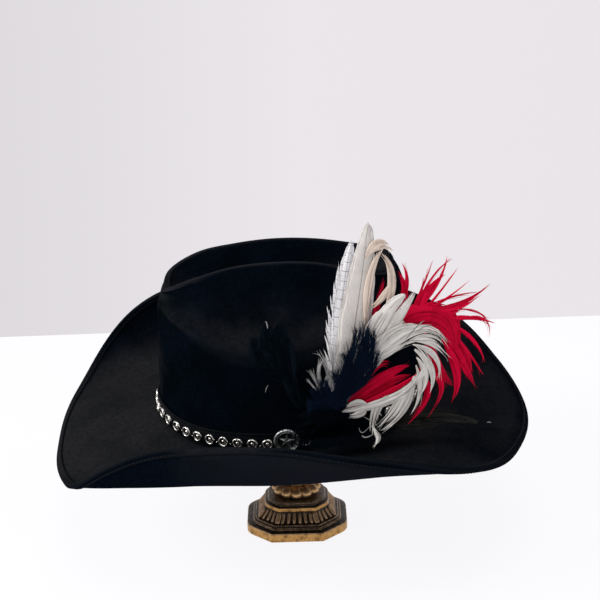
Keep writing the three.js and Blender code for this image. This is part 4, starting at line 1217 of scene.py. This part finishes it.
# Where the lower down hangs over the band: from and to as mm back and mm up, then its number of barbs.
HANGING = [
    (22, 20, 14, 4, 70), (30, 18, 28, 0, 130), (38, 17, 46, -1, 150), (46, 18, 62, 1, 150),
    (50, 22, 78, 6, 140),
]
# How far its barbs are scattered where they start and end, in mm back and mm up, and how they hang, in mm.
SCATTER = {"from": (4, 2.5), "to": (6, 3), "sway": 2.5, "off": 7.0, "half_width": 0.30}


def hanging_down(row, chance):
    """Barbs that hang from one place to another, spread about both."""
    from_y, from_z, to_y, to_z, count = row
    tau = np.linspace(0, 1, 9)
    start_y, start_z, end_y, end_z = (
        at + chance.normal(0, spread, (count, 1))
        for at, spread in zip((from_y, from_z, to_y, to_z), SCATTER["from"] + SCATTER["to"])
    )
    arc = np.sin(tau * math.pi)
    sway = SCATTER["sway"] * arc * chance.normal(0, 1, (count, 1))
    y = start_y + (end_y - start_y) * tau + sway
    z = start_z + (end_z - start_z) * tau**1.3 + sway * 0.4
    out = SCATTER["off"] * (1 - tau) + 1.5 * chance.random((count, 1)) + 2.0 * arc
    width = SCATTER["half_width"] * np.clip(1.1 - tau**1.5, 0.1, 1) * chance.uniform(0.6, 1.3, (count, 1))
    return down_barbs(y, z, out, width, tau, chance)


chance = np.random.default_rng(40)
parts = [down_core()] + [down_whorl(k / DOWN["whorls"] * 0.75, chance) for k in range(DOWN["whorls"])]
parts += [hanging_down(row, chance) for row in HANGING]
down = plume_piece("plume_down_tuft", parts, PLUME_FINISHES["down"])
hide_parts("plume_head")
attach(down, "root")


# The stand's foot.
# A cast eight-sided foot with an antique bronze finish: a plain gilt plinth, a fluted cove, a gilt fillet and
# a dark upper step. Brown patina is left in the hollows and the edges are rubbed bright.

# Height, distance across and corner cut of each course in mm, from the floor up, with the finish above it.
FOOT = [
    (0, 80.4, 19.7, "gilt"), (0.4, 81, 20, "gilt"), (6.3, 81, 20, "rubbed"), (7.1, 80.2, 19.8, "brown"),
    (8.0, 72.0, 17.4, "rubbed"), (8.3, 71.8, 17.3, "brown"), (9.3, 70.6, 16.8, "rubbed"),
    (9.7, 69.8, 16.5, "brown"), (9.9, 67.8, 15.9, "brown"), (10.9, 67.2, 15.8, "rubbed"),
    (11.3, 66.4, 15.5, "brown"), (11.6, 63.4, 14.8, "brown"), (13.5, 59.6, 13.8, "brown"),
    (16.5, 54.8, 12.4, "brown"), (18.9, 52.2, 11.5, "brown"), (19.6, 51.6, 11.2, "rubbed"),
    (20.0, 52.2, 11.4, "gilt"), (22.3, 51.8, 11.3, "rubbed"), (22.8, 50.8, 11.1, "brown"),
    (23.3, 47.6, 10.9, "brown"), (24.0, 47.2, 10.8, "rubbed"), (24.4, 46.4, 10.7, "brown"),
    (25.7, 45.8, 10.5, "brown"), (26.3, 45, 10.3, "brown"),
]
# The fluting in the cove: its lowest and highest points, how many hollows each kind of face has, and the ribs
# between them.
FLUTE = {"low": 11.9, "high": 18.8, "square_face": 7, "corner_face": 4, "from_corner": 0.04}
RIB = {"bulge": 1.1, "width": 0.58, "end": 0.03, "sunk": 0.3, "rings": 8, "sides": 6}
CORNER_STEPS = 5
SHARP, SOFT = 0.8, 7.0


def octagon(height, across, corner):
    """A square with its corners cut off."""
    h, c = across / 2, across / 2 - corner
    corners = [(h, -c), (h, c), (c, h), (-c, h), (-h, c), (-h, -c), (-c, -h), (c, -h)]
    return [(x, y, height) for x, y in corners]


def eased_octagon(height, across, corner):
    """The octagon with its corners eased: softly towards the two ends, hardly at the front and the back."""
    corners = [Vector(p) for p in octagon(height, across, corner)]
    ring = []
    for k in range(8):
        before, here, after = corners[k - 1], corners[k], corners[(k + 1) % 8]
        ease = SOFT if k in (2, 3, 6, 7) else SHARP
        a, b = here + (before - here).normalized() * ease, here + (after - here).normalized() * ease
        for i in range(CORNER_STEPS):
            t = i / (CORNER_STEPS - 1)
            ring.append((1 - t) ** 2 * a + 2 * t * (1 - t) * here + t**2 * b)
    return ring


def stack_of_rings(rings):
    """Level rings, one above another, closed at the bottom and the top."""
    size = len(rings[0])
    points = [p for ring in rings for p in ring]
    faces = [tuple(range(size - 1, -1, -1))]
    for i in range(len(rings) - 1):
        for k in range(size):
            m = (k + 1) % size
            a, b = i * size + k, i * size + m
            faces.append((a, b, b + size, a + size))
    faces.append(tuple(range(len(points) - size, len(points))))
    return points, faces


def foot_section(height):
    """Distance across and corner cut of the foot at a height."""
    heights = [row[0] for row in FOOT]
    return [float(np.interp(height, heights, [row[k] for row in FOOT])) for k in (1, 2)]


def rib(face, count, share):
    """One upright raised rib of the cove, at a share of one face's length."""
    points, faces = [], []
    rings, sides = RIB["rings"], RIB["sides"]
    for i in range(rings):
        rise = i / (rings - 1)
        height = FLUTE["low"] + (FLUTE["high"] - FLUTE["low"]) * rise
        corners = octagon(height, *foot_section(height))
        a, b = Vector(corners[face]), Vector(corners[(face + 1) % 8])
        along = b - a
        out = along.cross(Vector((0, 0, 1))).normalized()
        swell = math.sin(math.pi * min(max(rise, RIB["end"]), 1 - RIB["end"])) ** 0.4
        half = along.length / count / 2 * RIB["width"] * (0.5 + 0.5 * swell)
        for k in range(sides + 1):
            turn = math.pi * k / sides
            here = a + along * share + along.normalized() * half * math.cos(turn)
            points.append(here + out * (RIB["bulge"] * swell * math.sin(turn) - RIB["sunk"]))
    row = sides + 1
    for start in range(0, (rings - 1) * row, row):
        for k in range(start, start + sides):
            faces.append((k + 1, k, k + row, k + row + 1))
        faces.append((start, start + sides, start + sides + row, start + row))
    faces.append(tuple(range(row)))
    faces.append(tuple(range(len(points) - 1, len(points) - 1 - row, -1)))
    return points, faces


def flutes():
    """Ribs in the cove on all eight faces, with the hollows of the fluting between them."""
    ribs = []
    for face in range(8):
        count = FLUTE["square_face"] if face % 2 == 0 else FLUTE["corner_face"]
        for number in range(count + 1):
            share = min(max(number / count, FLUTE["from_corner"]), 1 - FLUTE["from_corner"])
            ribs.append(rib(face, count, share))
    return joined(ribs)


def bronze_finish(name, hollow, body, rubbed, worn_at):
    """Cast bronze: dark patina in the hollows and worn patches; worn_at sets how far it is worn."""
    bronze, tree, shader, place = finish(name)
    worn = ramp(tree, noise(tree, place, 260, 5, 0.7), [(worn_at, 0.0), (worn_at + 0.25, 1.0)])
    grains = noise(tree, place, 1300, 3)
    edge = node(tree, "NewGeometry").outputs["Pointiness"]
    raised = ramp(tree, edge, [(0.46, 0.0), (0.50, 0.45), (0.55, 1.0)])
    colours = [(0.15, hollow), (0.5, body), (0.85, rubbed)]
    fill(tree, shader, {
        "Base Color": ramp(tree, mixed(tree, 0.55, worn, raised), colours),
        "Roughness": ramp(tree, grains, [(0.3, 0.32), (0.7, 0.52)]),
        "Normal": bumped(tree, grains, 0.0004, 0.5),
        "Metallic": 0.8,
    })
    return bronze


# Colour in the hollows, over most of the metal and where it is rubbed, and how far it is worn.
BRONZES = {
    "gilt": ("gilt_bronze", (0.050, 0.022, 0.007), (0.17, 0.080, 0.022), (0.50, 0.275, 0.085), 0.37),
    "brown": ("brown_bronze", (0.014, 0.010, 0.007), (0.045, 0.032, 0.021), (0.17, 0.115, 0.07), 0.38),
    "rubbed": ("rubbed_bronze", (0.050, 0.030, 0.017), (0.22, 0.135, 0.075), (0.50, 0.32, 0.18), 0.36),
}
foot_bronzes = [bronze_finish(*row) for row in BRONZES.values()]
FINISH_INDEX = {name: index for index, name in enumerate(BRONZES)}
foot_stack = stack_of_rings([eased_octagon(*row[:3]) for row in FOOT])
fluting = flutes()
points, faces = joined([foot_stack, fluting])
foot = new_piece("stand_octagon_foot", points, faces, stand_place, foot_bronzes)
foot_finish = [FINISH_INDEX["brown"]]
for row in FOOT[:-1]:
    foot_finish += [FINISH_INDEX[row[3]]] * (8 * CORNER_STEPS)
foot_finish += [FINISH_INDEX["brown"]] + [FINISH_INDEX["rubbed"]] * len(fluting[1])
foot.data.polygons.foreach_set("material_index", foot_finish)
foot.data.polygons.foreach_set("use_smooth", [k >= len(foot_stack[1]) for k in range(len(faces))])
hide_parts("stand_foot")
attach(foot, "root")


# The knop, the post and the cap.
# Above the foot a cast bronze knop with twelve lobes carries a plain ring. A turned post rises from it into
# the crown, where a shallow bronze dome holds the hat from inside.

# Height and radius of the knop's rings in mm, and the share of its lobes' full depth.
KNOP = [
    (26.6, 15.2, 0.4), (27.0, 16.2, 0.8), (28.0, 17.9, 1), (29.0, 18.7, 1), (30.2, 19.0, 1), (31.5, 18.7, 1),
    (32.8, 17.6, 1), (34.0, 16.0, 1), (34.9, 14.2, 0.6), (35.5, 12.6, 0), (36.0, 12.0, 0), (36.4, 12.2, 0),
    (36.8, 13.2, 0), (37.5, 14.0, 0), (38.7, 14.3, 0), (39.8, 14.0, 0), (40.6, 12.8, 0), (41.2, 11.0, 0),
    (42.0, 9.8, 0),
]
LOBES = {"count": 12, "depth": 0.17, "sides": 192}
POST = {"radius": 5.4, "collar_radius": 6, "collar": 2, "taper": 1}


def round_ring(height, radius, sides=64, lobed=0.0):
    ring = []
    for k in range(sides):
        turn = k / sides * 2 * math.pi
        bulge = abs(math.cos(turn * LOBES["count"] / 2)) ** 0.6 - 0.7
        r = radius * (1 + lobed * LOBES["depth"] * bulge)
        ring.append((r * math.cos(turn), r * math.sin(turn), height))
    return ring


knop_bronze = bronze_finish(
    "knop_bronze", (0.022, 0.014, 0.008), (0.34, 0.20, 0.09), (0.62, 0.38, 0.18), 0.34)
brown_bronze = foot_bronzes[FINISH_INDEX["brown"]]
points, faces = stack_of_rings([round_ring(up, radius, LOBES["sides"], lobed) for up, radius, lobed in KNOP])
knop = new_piece("stand_lobed_knop", points, faces, stand_place, [knop_bronze])
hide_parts("stand_knop")
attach(knop, "root")

post_low, post_high = (corner.z * 1000 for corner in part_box("stand_post"))
collar_end = POST["collar"] + POST["taper"]
points, faces = stack_of_rings([
    round_ring(post_low, POST["collar_radius"]),
    round_ring(post_low + POST["collar"], POST["collar_radius"]),
    round_ring(post_low + collar_end, POST["radius"]),
    round_ring(post_high - collar_end, POST["radius"]),
    round_ring(post_high - POST["collar"], POST["collar_radius"]),
    round_ring(post_high, POST["collar_radius"]),
])
post = new_piece("stand_turned_post", points, faces, stand_place, [brown_bronze])
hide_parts("stand_post")
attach(post, "root")

cap_low, cap_high = (corner.z * 1000 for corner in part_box("stand_cap"))
CAP = {"radius": 30.0, "dome_radius": 62.0, "rim": 4.0, "bevel": 0.6, "steps": 12}
cap_rings = [
    round_ring(cap_low, CAP["radius"] - CAP["bevel"]),
    round_ring(cap_low + CAP["bevel"], CAP["radius"]),
    round_ring(cap_low + CAP["rim"], CAP["radius"]),
]
for k in range(1, CAP["steps"]):
    radius = CAP["radius"] * (1 - k / CAP["steps"])
    drop = CAP["dome_radius"] - math.sqrt(CAP["dome_radius"] ** 2 - radius**2)
    cap_rings.append(round_ring(cap_high - drop, radius))
points, faces = stack_of_rings(cap_rings)
cap = new_piece("stand_domed_cap", points, faces, stand_place, [brown_bronze])
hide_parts("stand_cap")
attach(cap, "root")


# The studio.
# A pale table top lit from below, as for catalogue photographs, that ends a little behind the hat before a
# pale wall. A broad soft window light comes from the left and a weaker one from above.

# The table's edges in mm from the stand's middle, how far its back edge is turned in degrees, and how far its
# top lies under the stand.
FLOOR = {"back": -523, "turn": -1.6, "front": 6000, "half": 7000, "below": 0.3}


def floor_finish():
    pale, tree, shader, place = finish("pale_table")
    fill(tree, shader, {
        "Base Color": ramp(tree, noise(tree, place, 3, 2), [(0.3, 0.09), (0.7, 0.11)]),
        "Roughness": 0.8,
        "Specular IOR Level": 0.0,
        "Emission Color": (0.905, 0.895, 0.915, 1),
        "Emission Strength": 1.0,
    })
    return pale


slant = FLOOR["half"] * math.tan(math.radians(FLOOR["turn"]))
floor_points = [
    (FLOOR["back"] - slant, -FLOOR["half"], -FLOOR["below"]),
    (FLOOR["front"], -FLOOR["half"], -FLOOR["below"]),
    (FLOOR["front"], FLOOR["half"], -FLOOR["below"]),
    (FLOOR["back"] + slant, FLOOR["half"], -FLOOR["below"]),
]
floor = new_piece("pale_floor", floor_points, [(0, 1, 2, 3)], stand_place, [floor_finish()])

scene = bpy.context.scene
world = bpy.data.worlds.new("studio")
scene.world = world
world.use_nodes = True
sky = world.node_tree
toward = node(sky, "SeparateXYZ", {0: node(sky, "TexCoord").outputs["Generated"]}).outputs
height_share = maths(sky, "MULTIPLY_ADD", toward["Z"], 0.5, 0.5)
side_share = maths(sky, "MULTIPLY_ADD", toward["Y"], 0.5, 0.5)
wall = ramp(sky, height_share, [(0.58, (0.83, 0.80, 0.83)), (0.80, (0.40, 0.40, 0.42))])
uneven = ramp(sky, side_share, [(0.40, 0.88), (0.50, 1.0), (0.62, 0.985)])
sky.links.new(mixed(sky, 1.0, wall, uneven, "MULTIPLY"), sky.nodes["Background"].inputs["Color"])
scene.view_settings.view_transform = "Standard"


def soft_light(name, position, target, size, power, colour):
    """A round soft lamp, in metres and watts, turned towards a target."""
    lamp = bpy.data.lights.new(name, "AREA")
    lamp.shape = "DISK"
    lamp.size = size
    lamp.energy = power
    lamp.color = colour
    holder = bpy.data.objects.new(name, lamp)
    scene.collection.objects.link(holder)
    holder.location = position
    holder.rotation_mode = "QUATERNION"
    holder.rotation_quaternion = (Vector(target) - Vector(position)).to_track_quat("-Z", "Y")


soft_light("window_light", (0.5, -1.7, 1.0), (0, 0, 0.12), 0.9, 26, (1.0, 0.97, 0.93))
soft_light("ceiling_light", (0.5, 0.1, 2.2), (0, 0, 0.1), 1.4, 14, (0.98, 0.99, 1.0))


# The camera.
# It stands on the plume side of the hat, a little above it, and looks down at it through a long lens.

# Its place in metres, its angles in radians, its lens and sensor in mm.
CAMERA_PLACE = (1.1274, 0.0072, 0.5279)
CAMERA = {"pitch": 0.2922, "roll": -0.0277, "lens": 90.0, "sensor": 36.0}

back = Vector((math.cos(CAMERA["pitch"]), 0, math.sin(CAMERA["pitch"])))
level_up = Vector((-math.sin(CAMERA["pitch"]), 0, math.cos(CAMERA["pitch"])))
level_right = Vector((0, 1, 0))
sine, cosine = math.sin(CAMERA["roll"]), math.cos(CAMERA["roll"])
right = level_right * cosine + level_up * sine
up = level_up * cosine - level_right * sine
camera_data = bpy.data.cameras.new("camera")
camera_data.lens = CAMERA["lens"]
camera_data.sensor_width = CAMERA["sensor"]
camera = bpy.data.objects.new("camera", camera_data)
scene.collection.objects.link(camera)
camera.matrix_world = Matrix.Translation(CAMERA_PLACE) @ Matrix((right, up, back)).transposed().to_4x4()
scene.camera = camera

bpy.context.view_layer.update()
